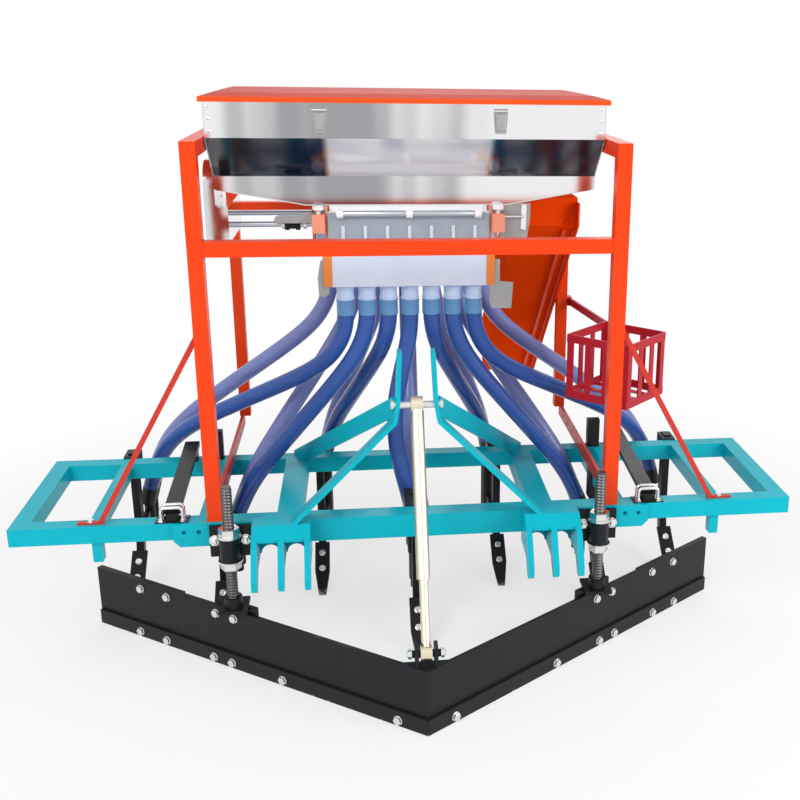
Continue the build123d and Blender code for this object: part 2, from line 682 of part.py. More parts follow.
FLAT_HALF = REAR_HALF + 12.0
TROUGH_END_Z = TROUGH_Z + 43.0


def trim_trough():
    """Cuts the lower edge of a sheet along the rising trough ends."""
    wedge = [
        (FLAT_HALF, TROUGH_Z), (FLAT_HALF, TROUGH_Z - 20), (HOPPER_HALF + 2 * SHEET, TROUGH_Z - 20),
        (HOPPER_HALF + 2 * SHEET, TROUGH_END_Z), (HOPPER_HALF, TROUGH_END_Z),
    ]
    front_plate(wedge, HOPPER_FRONT - 10, HOPPER_REAR + 10, Mode.SUBTRACT)
    front_plate(mirrored(wedge), HOPPER_FRONT - 10, HOPPER_REAR + 10, Mode.SUBTRACT)


with BuildPart() as hopper_front:
    side_plate(bent_sheet(FRONT_LINE, SHEET), -HOPPER_HALF, HOPPER_HALF)
    trim_trough()
hopper_front.part.label = "hopper_front"
export_step(hopper_front.part, "parts/hopper_front.step")

HINGE_Y = HOPPER_REAR + 22.0
HINGE_Z = LID_LOW + 3.0
HINGE_R = 4.0
HINGE_X = 330.0
with BuildPart() as hopper_rear:
    side_plate(to_rear(bent_sheet(FRONT_LINE, SHEET)), -HOPPER_HALF, HOPPER_HALF)
    trim_trough()
    for s in (-1, 1):
        for e in (-1, 1):
            x = s * HINGE_X + e * 32
            block(x - 4, x + 4, HOPPER_REAR, HINGE_Y + 8, HINGE_Z - 37, HINGE_Z - 19)
            block(x - 4, x + 4, HINGE_Y - 8, HINGE_Y + 8, HINGE_Z - 37, HINGE_Z + 7)
        between((s * HINGE_X - 36, HINGE_Y, HINGE_Z), (s * HINGE_X + 36, HINGE_Y, HINGE_Z), HINGE_R)
hopper_rear.part.label = "hopper_rear"
export_step(hopper_rear.part, "parts/hopper_rear.step")

RIDGE_Y = UNIT_FRONT_Y + 19.0
RIDGE_LINE = [
    (RIDGE_Y, TROUGH_Z), (RIDGE_Y, TROUGH_Z + 35), (MIDDLE, TROUGH_Z + 143),
    (2 * MIDDLE - RIDGE_Y, TROUGH_Z + 35), (2 * MIDDLE - RIDGE_Y, TROUGH_Z),
]
with BuildPart() as hopper_ridge:
    side_plate(bent_sheet(RIDGE_LINE, -SHEET), -HOPPER_HALF, HOPPER_HALF)
    trim_trough()
hopper_ridge.part.label = "hopper_ridge"
export_step(hopper_ridge.part, "parts/hopper_ridge.step")

with BuildPart() as hopper_ends:
    outline = FRONT_LINE + RIDGE_LINE + list(reversed(to_rear(FRONT_LINE)))
    for s in (-1, 1):
        x0 = min(s * HOPPER_HALF, s * (HOPPER_HALF + SHEET))
        side_plate(outline, x0, x0 + SHEET)
    trim_trough()
    half = POST_X - POST / 2
    for y in (210.0, 560.0):
        blocks(HOPPER_HALF + SHEET, half, y, y + 50, STAND_TOP - POST + 4, STAND_TOP - 4)
hopper_ends.part.label = "hopper_ends"
export_step(hopper_ends.part, "parts/hopper_ends.step")

FLOOR_LINE = [
    (-HOPPER_HALF, TROUGH_END_Z), (-FLAT_HALF, TROUGH_Z), (FLAT_HALF, TROUGH_Z), (HOPPER_HALF, TROUGH_END_Z),
]
with BuildPart() as hopper_floors:
    for y, pitch in ((UNIT_FRONT_Y, OUTLET_PITCH), (UNIT_REAR_Y, REAR_PITCH)):
        front_plate(bent_sheet(FLOOR_LINE, -SHEET), y - 19, y + 19)
        for k in range(-3, 4):
            x = k * pitch
            block(x - 18, x + 18, y - 11, y + 11, TROUGH_Z - 10, TROUGH_Z + 10, Mode.SUBTRACT)
hopper_floors.part.label = "hopper_floors"
export_step(hopper_floors.part, "parts/hopper_floors.step")

# Lid: a shallow turned-down tray with a low hip, on two hinge barrels behind the hopper
HIP_SLOPE = 76.0


def lid_shell(inset, z0, z1, z2, mode=Mode.ADD):
    """A straight skirt from z0 to z1 and a hip from z1 up to z2."""
    w = 2 * (HOPPER_HALF + SHEET + LID_GAP + LID_T - inset)
    d = HOPPER_REAR - HOPPER_FRONT + 2 * (LID_GAP + LID_T - inset)
    middle = (HOPPER_FRONT + HOPPER_REAR) / 2 + Y_BASE
    with BuildSketch(Plane(origin=(0, middle, z0))) as face_of:
        Rectangle(w, d)
    extrude(face_of.sketch, amount=z1 - z0, mode=mode)
    with BuildSketch(Plane(origin=(0, middle, z1))) as face_of:
        Rectangle(w, d)
    extrude(face_of.sketch, amount=z2 - z1, taper=HIP_SLOPE, mode=mode)


with BuildPart() as lid:
    y1 = HOPPER_REAR + LID_GAP + LID_T
    lid_shell(0.0, LID_LOW, LID_EDGE, LID_TOP)
    lid_shell(LID_T, LID_LOW - 1, LID_EDGE - LID_T, LID_TOP - LID_T, Mode.SUBTRACT)
    for s in (-1, 1):
        block(s * HINGE_X - 24, s * HINGE_X + 24, y1, HINGE_Y, HINGE_Z, HINGE_Z + 8)
        between((s * HINGE_X - 24, HINGE_Y, HINGE_Z), (s * HINGE_X + 24, HINGE_Y, HINGE_Z), 8)
        ends = [(s * HINGE_X + e, HINGE_Y, HINGE_Z) for e in (-40, 40)]
        between(ends[0], ends[1], HINGE_R + RUN_FIT, Mode.SUBTRACT)
lid.part.label = "lid"
export_step(lid.part, "parts/lid.step")

# Metering units: ribbed channel, outlet box, end brackets, spigots and the fluted shaft
# Each unit: its depth, outlet pitch, half width and how far its outlets sit higher
UNITS = (
    (UNIT_FRONT_Y, OUTLET_PITCH, CHANNEL_HALF, 0.0),
    (UNIT_REAR_Y, REAR_PITCH, REAR_HALF, REAR_RISE),
)
with BuildPart() as meter_channels:
    for y, pitch, half, rise in UNITS:
        block(-half, half, y - 42, y + 42, CHANNEL_LOW, CHANNEL_TOP)
        block(-half + 4, half - 4, y - 18, y + 18, CHANNEL_TOP, TROUGH_Z - SHEET)
        block(-half + 4, half - 4, y - 38, y + 38, CHANNEL_LOW - 1, CHANNEL_TOP - 4, Mode.SUBTRACT)
        block(-half + 8, half - 8, y - 14, y + 14, CHANNEL_TOP - 10, TROUGH_Z + 5, Mode.SUBTRACT)
        side = 1 if rise else -1
        for k in range(-3, 4):
            y0 = y + side * 42
            block(k * pitch - 5, k * pitch + 5, min(y0, y0 + side * 4), max(y0, y0 + side * 4), 1190, 1226)
        between((-half - 20, y, SHAFT_Z), (half + 20, y, SHAFT_Z), SHAFT_R + RUN_FIT, Mode.SUBTRACT)
meter_channels.part.label = "meter_channels"
export_step(meter_channels.part, "parts/meter_channels.step")

with BuildPart() as meter_boxes:
    for y, pitch, half, rise in UNITS:
        low = SPIGOT_TOP + rise
        block(-half + 2, half - 2, y - 40, y + 40, low, CHANNEL_LOW)
        block(-half + 6, half - 6, y - 36, y + 36, low + 6, CHANNEL_LOW + 1, Mode.SUBTRACT)
        for k in range(-3, 4):
            between((k * pitch, y, low - 1), (k * pitch, y, low + 10), HOSE_R - 5, Mode.SUBTRACT)
meter_boxes.part.label = "meter_boxes"
export_step(meter_boxes.part, "parts/meter_boxes.step")

with BuildPart() as meter_brackets:
    for y, pitch, half, rise in UNITS:
        blocks(half, half + 8, y - 34, y + 34, SPIGOT_TOP + rise + 10, TROUGH_Z - SHEET)
        if rise == 0:
            blocks(half + 8, half + 44, y - 52, y - 16, 1206, 1258)
        between((-half - 80, y, SHAFT_Z), (half + 80, y, SHAFT_Z), SHAFT_R + RUN_FIT, Mode.SUBTRACT)
meter_brackets.part.label = "meter_brackets"
export_step(meter_brackets.part, "parts/meter_brackets.step")

with BuildPart() as spigots:
    for y, pitch, half, rise in UNITS:
        for k in range(-3, 4):
            low = (k * pitch, y, SPIGOT_LOW + rise)
            top = (k * pitch, y, SPIGOT_TOP + rise)
            between(low, top, HOSE_R)
            between(low, top, HOSE_R - 5, Mode.SUBTRACT)
spigots.part.label = "spigots"
export_step(spigots.part, "parts/spigots.step")


COVER_X = -HOPPER_HALF + 5.0
COVER_W = 30.0
COVER_Y0 = UNIT_FRONT_Y - 14.0
COVER_Y1 = COVER_Y0 + 190.0
COVER_TOP = STAND_TOP - POST - 37.0


def metering_shaft(y, pitch, x0, x1):
    """A shaft with seven fluted rollers."""
    between((x0, y, SHAFT_Z), (x1, y, SHAFT_Z), SHAFT_R)
    for k in range(-3, 4):
        with BuildSketch(Plane(origin=(k * pitch - 20, y + Y_BASE, SHAFT_Z), z_dir=(1, 0, 0))) as face_of:
            Circle(ROLLER_R)
            with PolarLocations(ROLLER_R + 1.5, 10):
                Circle(5, mode=Mode.SUBTRACT)
        extrude(face_of.sketch, amount=40)


with BuildPart() as shaft_front:
    metering_shaft(UNIT_FRONT_Y, OUTLET_PITCH, COVER_X + 18, CHANNEL_HALF + 116)
shaft_front.part.label = "shaft_front"
export_step(shaft_front.part, "parts/shaft_front.step")

with BuildPart() as shaft_rear:
    metering_shaft(UNIT_REAR_Y, REAR_PITCH, COVER_X + 18, CASE_X0 + 20)
shaft_rear.part.label = "shaft_rear"
export_step(shaft_rear.part, "parts/shaft_rear.step")

# Gear cover on the left, chain case on the right
with BuildPart() as gear_cover:
    y0 = UNIT_FRONT_Y - 54
    y1 = UNIT_REAR_Y + 54
    block(COVER_X, COVER_X + COVER_W, y0, y1, CHANNEL_LOW - 6, TROUGH_Z - SHEET)
    block(COVER_X + 12, COVER_X + 24, y0 + 6, y1 - 6, CHANNEL_LOW, TROUGH_Z - 10, Mode.SUBTRACT)
    outer = -HOPPER_HALF - SHEET - RUN_FIT
    block(outer - COVER_W, COVER_X, COVER_Y0, COVER_Y1, CHANNEL_LOW - 6, TROUGH_Z - SHEET)
    with BuildSketch(Plane(origin=(outer - COVER_W, Y_BASE, 0), x_dir=(0, 1, 0), z_dir=(1, 0, 0))) as face_of:
        with Locations(((COVER_Y0 + COVER_Y1) / 2, (CHANNEL_LOW - 6 + COVER_TOP) / 2)):
            RectangleRounded(COVER_Y1 - COVER_Y0, COVER_TOP - CHANNEL_LOW + 6, 70)
    extrude(face_of.sketch, amount=COVER_W)
    for y, pitch, half, rise in UNITS:
        between((COVER_X + 21, y, SHAFT_Z), (COVER_X + 40, y, SHAFT_Z), SHAFT_R + RUN_FIT, Mode.SUBTRACT)
gear_cover.part.label = "gear_cover"
export_step(gear_cover.part, "parts/gear_cover.step")

STUB_Y = 1335.0
STUB_Z = 572.0
STUB_R = 12.5
CASE_OUTLINE = [(470, 1188), (470, 1275), (640, 1275), (CASE_REAR, 632), (1300, 482)]
CASE_INNER = [(474, 1190), (474, 1271), (638.5, 1271), (1390, 631), (1300, 487)]
with BuildPart() as chain_case:
    side_plate(CASE_OUTLINE, CASE_X0, CASE_X1)
    side_plate(CASE_INNER, CASE_X0 + 4, CASE_X1 - 4, Mode.SUBTRACT)
    hole = [(CASE_X0 + e, UNIT_REAR_Y, SHAFT_Z) for e in (-1, 10)]
    between(hole[0], hole[1], SHAFT_R + RUN_FIT, Mode.SUBTRACT)
    strip = [(430, 1262), (470, 1262), (470, 1188), (1300, 482), (1286, 466), (430, 1194)]
    side_plate(strip, CASE_X1 - 5, CASE_X1)
    side_plate([(452, 1203), (470, 1203), (470, 1188), (1300, 482), (1293, 474)], CASE_X1 - 38, CASE_X1 - 33)
    block(CASE_X1, LEG_X - LEG / 2, LEG_Y0, LEG_Y0 + LEG, 980, 1080)
    between((CASE_X1 - 4, STUB_Y, STUB_Z), (CASE_X1 + 46, STUB_Y, STUB_Z), STUB_R)
chain_case.part.label = "chain_case"
export_step(chain_case.part, "parts/chain_case.step")

# Flat-bar basket on the right, turned a half square
BASKET_X = POST_X + 70.0
BASKET_Y = 302.0
BASKET_SIDE = 220.0
BASKET_LOW = 684.0
BASKET_TOP = 884.0
with BuildPart() as basket:
    for z0, z1 in ((BASKET_LOW, BASKET_LOW + 25), (BASKET_TOP - 25, BASKET_TOP)):
        with BuildSketch(Plane(origin=(BASKET_X, BASKET_Y + Y_BASE, z0))) as face_of:
            Rectangle(BASKET_SIDE, BASKET_SIDE, rotation=45)
            Rectangle(BASKET_SIDE - 8, BASKET_SIDE - 8, rotation=45, mode=Mode.SUBTRACT)
        extrude(face_of.sketch, amount=z1 - z0)
    with BuildSketch(Plane(origin=(BASKET_X, BASKET_Y + Y_BASE, BASKET_LOW))) as face_of:
        for a in range(4):
            with Locations(Location((0, 0), 45 + 90 * a)):
                for e in (-96.0, -32.0, 32.0, 96.0):
                    with Locations((BASKET_SIDE / 2 - 2, e)):
                        Rectangle(4, 22)
    extrude(face_of.sketch, amount=BASKET_TOP - BASKET_LOW)
    with BuildSketch(Plane(origin=(BASKET_X, BASKET_Y + Y_BASE, BASKET_LOW))) as face_of:
        with Locations(Location((0, 0), 45)):
            for e in (-64.0, 0.0, 64.0):
                with Locations((e, 0)):
                    Rectangle(22, BASKET_SIDE - 4)
    extrude(face_of.sketch, amount=4)
    arm_z = BASKET_TOP - 12.5
    beam((BASKET_X, BASKET_Y + 152, arm_z), (LEG_X + LEG / 2 + 8, LEG_Y0 + 18, arm_z), 25, 8, (0, 0, 1))
    block(LEG_X + LEG / 2, LEG_X + LEG / 2 + 16, LEG_Y0, LEG_Y0 + LEG, arm_z - 15, arm_z + 15)
basket.part.label = "basket"
export_step(basket.part, "parts/basket.step")

# Black side arms across the frame and a small post beside each
ARM_X = POST_X + 116.0
ARM_W = 44.0
ARM_T = 16.0
ARM_LIFT = 27.0
ARM_RISE = 22.0
ARM_POST_X = POST_X + 50.0
ARM_POST_TOP = BAR_TOP + 95.0
with BuildPart() as side_arms:
    y0 = BAR / 2 - 3
    y1 = BAR_DEPTH - BAR / 2 + 11
    z0 = BAR_TOP + ARM_LIFT
    for s in (-1, 1):
        x = s * ARM_X
        beam((x, y0, z0), (x + s * 10, y1, z0 + ARM_RISE), ARM_W, ARM_T, (1, 0, 0))
        block(x - 16, x + 16, 8, BAR - 8, BAR_TOP, z0 - 2)
        block(x + s * 9 - 16, x + s * 9 + 16, y1 - 32, y1 - 2, BAR_TOP, z0 + ARM_RISE - 4)
        x = s * ARM_POST_X
        block(x - 20, x + 20, y1 - 24, y1 + 2, BAR_TOP, ARM_POST_TOP)
side_arms.part.label = "side_arms"
export_step(side_arms.part, "parts/side_arms.step")


# Hoses: straight runs joined by tangent arcs, one from every spigot to its boot
def hose(points, name):
    """Sweeps a hose along its corner points and prints the bend radii."""
    radii = []
    pts = [Vector(p[0], p[1] + Y_BASE, p[2]) for p in points]
    with BuildLine() as path:
        here = pts[0]
        for i in range(1, len(pts) - 1):
            a = (pts[i] - pts[i - 1]).normalized()
            b = (pts[i + 1] - pts[i]).normalized()
            run = min((pts[i] - pts[i - 1]).length, (pts[i + 1] - pts[i]).length)
            turn = math.acos(max(-1.0, min(1.0, a.dot(b))))
            cut = 0.45 * run
            radius = cut / math.tan(turn / 2)
            radii.append(round(radius))
            p = pts[i] - a * cut
            q = pts[i] + b * cut
            inward = (b - a).normalized()
            mid = pts[i] + inward * (radius / math.cos(turn / 2) - radius)
            Line(here, p)
            ThreePointArc(p, mid, q)
            here = q
        Line(here, pts[-1])
    with BuildSketch(Plane(origin=pts[0], z_dir=pts[1] - pts[0])) as face_of:
        Circle(HOSE_R)
    sweep(face_of.sketch, path=path.wires()[0])
    print(name, "length", round(path.wires()[0].length), "radii", radii)


for index in range(1, len(ROWS) + 1):
    with BuildPart() as seed_hose:
        hose(ROUTES["seed", index], f"seed_hose_{index}")
    seed_hose.part.label = f"seed_hose_{index}"
    export_step(seed_hose.part, f"parts/seed_hose_{index}.step")
    with BuildPart() as feed_hose:
        hose(ROUTES["feed", index], f"feed_hose_{index}")
    feed_hose.part.label = f"feed_hose_{index}"
    export_step(feed_hose.part, f"parts/feed_hose_{index}.step")
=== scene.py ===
# %% [markdown]
# This lesson dresses a tractor seed drill.

# %% Load the imported drill
import math
import bmesh
import bpy
from mathutils import Matrix, Vector


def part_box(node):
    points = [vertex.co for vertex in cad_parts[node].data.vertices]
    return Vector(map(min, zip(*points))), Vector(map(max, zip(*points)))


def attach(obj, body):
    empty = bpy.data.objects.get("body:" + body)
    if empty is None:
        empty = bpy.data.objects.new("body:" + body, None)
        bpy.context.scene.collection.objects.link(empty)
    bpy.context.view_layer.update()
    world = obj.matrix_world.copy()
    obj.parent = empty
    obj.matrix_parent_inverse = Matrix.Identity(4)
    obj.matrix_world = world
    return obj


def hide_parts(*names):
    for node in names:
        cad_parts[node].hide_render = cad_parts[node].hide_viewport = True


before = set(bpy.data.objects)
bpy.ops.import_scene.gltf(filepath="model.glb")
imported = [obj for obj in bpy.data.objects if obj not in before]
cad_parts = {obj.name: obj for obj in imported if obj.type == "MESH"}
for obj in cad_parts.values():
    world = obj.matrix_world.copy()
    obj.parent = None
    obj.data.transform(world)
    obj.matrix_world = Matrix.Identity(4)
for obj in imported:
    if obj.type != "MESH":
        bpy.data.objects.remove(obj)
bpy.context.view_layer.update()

# %% [markdown]
# Depths on the drill are counted from the front face of its front bar, because that bar carries
# everything. The model's origin lies under the middle of the machine, so one number moves a depth
# from the bar's face to the model.

# %% Depths
BARS_DEPTH = 0.524
BAR_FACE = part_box("toolbar_rear")[1].y - BARS_DEPTH


def at(x, y, z):
    """A point by its width, its depth behind the front bar's face and its height."""
    return Vector((x, y + BAR_FACE, z))


print("front bar face at", round(BAR_FACE, 4))

# %% [markdown]
# The camera stands to the left of the middle, a little above the lid, and looks down and to the
# right. A camera can be aimed with a constraint, but here its three axes are written straight into
# its matrix, because the picture is also rolled by a degree. The small shift slides the frame
# sideways, as the crop of the picture does. The focal length and the axis of the lens are in
# pixels of the square picture.

# %% Camera
PICTURE = 800
FOCAL_LENGTH = 1082.165
LENS_AXIS = (519.87, 393.42)
SENSOR = 36
CAMERA_PLACE = at(-0.1349, -2.8483, 1.7034)
turn, dip, roll = 0.1477, 0.3059, 0.0166
ahead = Vector((math.sin(turn) * math.cos(dip), math.cos(turn) * math.cos(dip), -math.sin(dip)))
level = Vector((math.cos(turn), -math.sin(turn), 0))
above = level.cross(ahead)
across = level * math.cos(roll) + above * math.sin(roll)
upward = above * math.cos(roll) - level * math.sin(roll)
lens_box = bpy.data.cameras.new("camera")
lens_box.sensor_width = SENSOR
lens_box.lens = SENSOR * FOCAL_LENGTH / PICTURE
lens_box.shift_x = (PICTURE / 2 - LENS_AXIS[0]) / PICTURE
lens_box.shift_y = (LENS_AXIS[1] - PICTURE / 2) / PICTURE
lens_box.clip_end = 60
camera = bpy.data.objects.new("camera", lens_box)
aim = Matrix((across, upward, -ahead)).transposed().to_4x4()
camera.matrix_world = Matrix.Translation(CAMERA_PLACE) @ aim
bpy.context.collection.objects.link(camera)
bpy.context.scene.camera = camera
print("lens", round(lens_box.lens, 2), "shift", round(lens_box.shift_x, 3), round(lens_box.shift_y, 3))

# %% [markdown]
# Node materials are easier to read as sums than as wires. The small class below wraps one output
# of a material's node tree. Adding or multiplying two of them places a Math node, so a line of
# Python stands for a chain of nodes. One method makes every other node: its settings come first
# and its sockets after them. A socket is given by its label, with _ for a space, or by an i and
# its number where labels repeat.

# %% Shader arithmetic


class Flow:
    """One output socket of a node tree, ready for arithmetic. Without a socket it starts a tree."""

    def __init__(self, tree, socket=None):
        self.tree = tree
        self.socket = socket

    def node(self, kind, settings=None, out=0, **sockets):
        """Any node: its settings first, then the values or links of its sockets."""
        made = self.tree.nodes.new(kind)
        for key, value in (settings or {}).items():
            setattr(made, key, value)
        for key, value in sockets.items():
            numbered = key[0] == "i" and key[1:].isdigit()
            port = made.inputs[int(key[1:]) if numbered else key.replace("_", " ")]
            if isinstance(value, Flow):
                self.tree.links.new(value.socket, port)
            else:
                port.default_value = value
        return Flow(self.tree, made.outputs[out])

    def maths(self, operation, first, second=0.0):
        """A Math node on two numbers or links."""
        return self.node("ShaderNodeMath", {"operation": operation}, i0=first, i1=second)

    def __add__(self, other):
        return self.maths("ADD", self, other)

    def __radd__(self, other):
        return self.maths("ADD", other, self)

    def __sub__(self, other):
        return self.maths("SUBTRACT", self, other)

    def __rsub__(self, other):
        return self.maths("SUBTRACT", other, self)

    def __mul__(self, other):
        return self.maths("MULTIPLY", self, other)

    def __rmul__(self, other):
        return self.maths("MULTIPLY", other, self)

    def axis(self, index):
        """One coordinate of a place: 0 across, 1 in depth, 2 up."""
        return self.node("ShaderNodeSeparateXYZ", out=index, Vector=self)

    def rise(self, low, high):
        """0 below low, 1 above high, and a smooth step between them."""
        step = {"interpolation_type": "SMOOTHSTEP"}
        return self.node("ShaderNodeMapRange", step, Value=self, From_Min=low, From_Max=high)

    def blend(self, low, high):
        """A colour between low and high, by this value."""
        first, last = ((*c, 1) if isinstance(c, tuple) else c for c in (low, high))
        return self.node("ShaderNodeMix", {"data_type": "RGBA"}, out=2, i0=self, i6=first, i7=last)

    def noise(self, scale, detail=3.0, stretch=(1, 1, 1)):
        """Noise on the piece's own coordinates, stretched along an axis."""
        spread = self.node("ShaderNodeMapping", Vector=self, Scale=stretch)
        return self.node("ShaderNodeTexNoise", Vector=spread, Scale=scale, Detail=detail)

    def bump(self, strength, distance):
        """A normal that follows this value as a height."""
        return self.node("ShaderNodeBump", Height=self, Strength=strength, Distance=distance)


FINISHES = {}


def finish(name, plain, varied):
    """A material: plain values go on the shader's own sockets, varied ones come from the place."""
    made = bpy.data.materials.new(name)
    made.use_nodes = True
    shader = made.node_tree.nodes["Principled BSDF"]
    for key, value in plain.items():
        shader.inputs[key].default_value = value
    place = Flow(made.node_tree).node("ShaderNodeTexCoord", out="Object")
    for key, value in varied(place).items():
        made.node_tree.links.new(value.socket, shader.inputs[key])
    FINISHES[name] = made
    return made


print("shader arithmetic ready")

# %% [markdown]
# The painted steel is sprayed enamel: even in colour, glossy, with the faint orange peel that
# every sprayed coat has. One function makes all of the enamels, so that they share one spray gun.
# A slow noise shifts the colour a little, a fine one gives the peel, and small specks of dust
# take the gloss off here and there. The lid alone has two shades, so it brings its own pattern.

# %% Enamels
LID_RIM = 1.5805


def even(shade):
    """A pattern of one shade that darkens a little here and there."""
    dark = tuple(c * 0.84 for c in shade)
    return lambda place: place.noise(7.0, 4).blend(dark, shade)


def enamel(name, pattern, rough, gloss=0.16, coat=0.06):
    """Sprayed paint in a pattern that depends on the place."""
    return finish(
        name,
        {"Coat Weight": coat, "Coat Roughness": 0.1, "Specular IOR Level": gloss},
        lambda place: {
            "Base Color": pattern(place),
            "Roughness": place.noise(60.0) * 0.1 + place.noise(240.0, 1).rise(0.62, 0.75) * 0.2 + rough,
            "Normal": place.noise(420.0, 2).bump(0.08, 0.0006),
        },
    )


def lid_shade(place):
    """Orange on the folded rim of the lid, and a duller, pinker red on its top."""
    top_red = place.noise(3.0, 4).blend((0.54, 0.090, 0.070), (0.70, 0.125, 0.095))
    return place.axis(2).rise(LID_RIM - 0.0007, LID_RIM + 0.0007).blend((0.84, 0.085, 0.016), top_red)


teal = enamel("teal_enamel", even((0.0, 0.47, 0.58)), 0.28, 0.13)
orange = enamel("orange_enamel", even((0.90, 0.056, 0.004)), 0.30)
stay_red = enamel("stay_enamel", even((0.62, 0.045, 0.030)), 0.32)
lid_red = enamel("lid_enamel", lid_shade, 0.55, 0.05, 0.0)
# The drive case gets a brighter, glossless copy of the orange: painted light for its place in the shadow
# under the hopper.
lit_case_orange = enamel("lit_case_enamel", even((1.0, 0.066, 0.003)), 0.5, 0.0, 0.0)
red = enamel("red_enamel", even((0.52, 0.014, 0.028)), 0.32)
salmon = enamel("salmon_enamel", even((0.82, 0.31, 0.20)), 0.36, 0.12)
amber = enamel("amber_enamel", even((0.83, 0.25, 0.055)), 0.36, 0.12)
black = enamel("black_enamel", even((0.010, 0.010, 0.012)), 0.36, 0.2)
print("enamels", sorted(FINISHES))

# %% [markdown]
# The strip along the foot of the blade and the shovels run through soil. The drill is almost new,
# so the black has only begun to go from their lowest edges, where specks of steel show. A mask by
# height, broken up by noise, turns the black enamel into bare metal there: it drives the colour and
# the metal together.

# %% Worn black
BARE_STEEL = (0.30, 0.29, 0.28)
SOILED_BLACK = (0.013, 0.013, 0.015)


def worn(place, top):
    """1 on bare steel: a ragged border around a height above the ground."""
    ragged = place.axis(2) + place.noise(38.0, 5) * 0.05 - 0.025
    return 1 - ragged.rise(top - 0.008, top + 0.004)


def worn_black(name, top):
    """Black enamel that has gone below a height."""
    return finish(
        name,
        {"Specular IOR Level": 0.2},
        lambda place: {
            "Base Color": worn(place, top).blend(SOILED_BLACK, BARE_STEEL),
            "Metallic": worn(place, top),
            "Roughness": place.noise(45.0) * 0.2 + 0.3,
            "Normal": place.noise(120.0, 4).bump(0.12, 0.0015),
        },
    )


edge_black = worn_black("worn_edge", -0.005)
shovel_black = worn_black("worn_shovel", 0.008)
print("worn finishes", [edge_black.name, shovel_black.name])

# %% [markdown]
# The hopper is polished stainless sheet. A perfect mirror looks false, so a slow noise makes the
# sheet wave a little and a fine one, drawn out along the sheet, gives the grain of the polishing.
# Zinc, aluminium and the gold-zinc brace differ only in shade, roughness and grain.

# %% Bright metals


def bright(name, shade, rough, grain, wave=0.0):
    """Bare or plated metal with a grain, and a slow wave where it is thin sheet."""
    return finish(
        name,
        {"Metallic": 1.0},
        lambda place: {
            "Base Color": place.noise(9.0, 3).blend(tuple(c * 0.9 for c in shade), shade),
            "Roughness": place.noise(30.0, 3, grain) * 0.12 + rough,
            "Normal": (place.noise(900.0, 2, grain) * 0.15 + place.noise(2.6, 1) * wave).bump(0.05, 0.004),
        },
    )


stainless = bright("polished_stainless", (0.76, 0.76, 0.765), 0.06, (0.02, 1, 1), 12.0)
zinc = bright("zinc_plate", (0.80, 0.80, 0.79), 0.2, (1, 1, 1))
gold_zinc = bright("gold_zinc_plate", (0.84, 0.77, 0.60), 0.24, (1, 1, 0.2))
aluminium = bright("drawn_aluminium", (0.56, 0.60, 0.65), 0.28, (0.03, 1, 1))
oiled = bright("oiled_thread", (0.15, 0.14, 0.14), 0.3, (1, 1, 1))
print("finishes so far", len(FINISHES))

# %% [markdown]
# The metering channels and the small guards are galvanised sheet, which is dull and only partly
# metallic. The panel of the channels is blue-grey, with paler ribs in front of it, so its shade
# follows depth; its top edge is a painted highlight in pale grey. The guards are one mottled grey.

# %% Galvanised sheet
PANEL_FACE = BAR_FACE + 0.2515
PANEL_TOP = 1.26225


def channel_shade(place):
    """Blue-grey sheet, paler ribs in front of the panel, and a painted highlight on the top edge."""
    sheet = place.noise(26.0, 4).blend((0.27, 0.32, 0.38), (0.37, 0.43, 0.50))
    ribs = 1 - place.axis(1).rise(PANEL_FACE - 0.0003, PANEL_FACE + 0.0003)
    # painted highlight: the top edge is painted pale grey in place of light
    top = place.axis(2).rise(PANEL_TOP - 0.00075, PANEL_TOP + 0.00075)
    return top.blend(ribs.blend(sheet, (0.62, 0.68, 0.74)), (0.82, 0.83, 0.85))


def guard_shade(place):
    """One mottled grey."""
    return place.noise(40.0, 4).blend((0.30, 0.30, 0.30), (0.40, 0.40, 0.395))


def galvanised_sheet(name, shade):
    """Dull zinc on sheet, in a shade that depends on the place."""
    return finish(
        name,
        {"Metallic": 0.25, "Specular IOR Level": 0.4},
        lambda place: {
            "Base Color": shade(place),
            "Roughness": place.noise(70.0, 4) * 0.2 + 0.3,
            "Normal": place.noise(500.0, 2, (0.1, 1, 1)).bump(0.05, 0.0006),
        },
    )


channel_grey = galvanised_sheet("channel_sheet", channel_shade)
galvanised = galvanised_sheet("galvanised_sheet", guard_shade)
print("galvanised", channel_grey.name, galvanised.name)

# %% [markdown]
# The front sheet of the hopper is folded twice, and its colour carries painted reflections. Its slope
# looks down at the ground and the frame, so on both sides of the metering unit it is painted as dark
# as they are, with bluish patches, and above the unit it gets a pale painted reflection on less metal.
# The band above and the trough below get painted reflection streaks of the sky, pale and grey, that
# run up the sheet. The painted reflections follow the sheet's own height and width, so they stay put
# from any side.

# %% Front sheet of the hopper
SLOPE_LOW = (1.361, 1.364)
SLOPE_TOP = (1.4735, 1.4755)
DARK_FROM_SQUARED = (0.046, 0.058)
ALONG = (0.02, 1, 1)


def front_slope(place):
    """1 on the slope of the sheet, 0 on the band above it and the trough below it."""
    height = place.axis(2)
    return height.rise(*SLOPE_LOW) * (1 - height.rise(*SLOPE_TOP))


def front_aside(place):
    """0 above the metering unit, 1 on both sides of it."""
    width = place.axis(0)
    return (width * width).rise(*DARK_FROM_SQUARED)


def front_middle(place):
    """1 on the slope above the metering unit."""
    return front_slope(place) * (1 - front_aside(place))


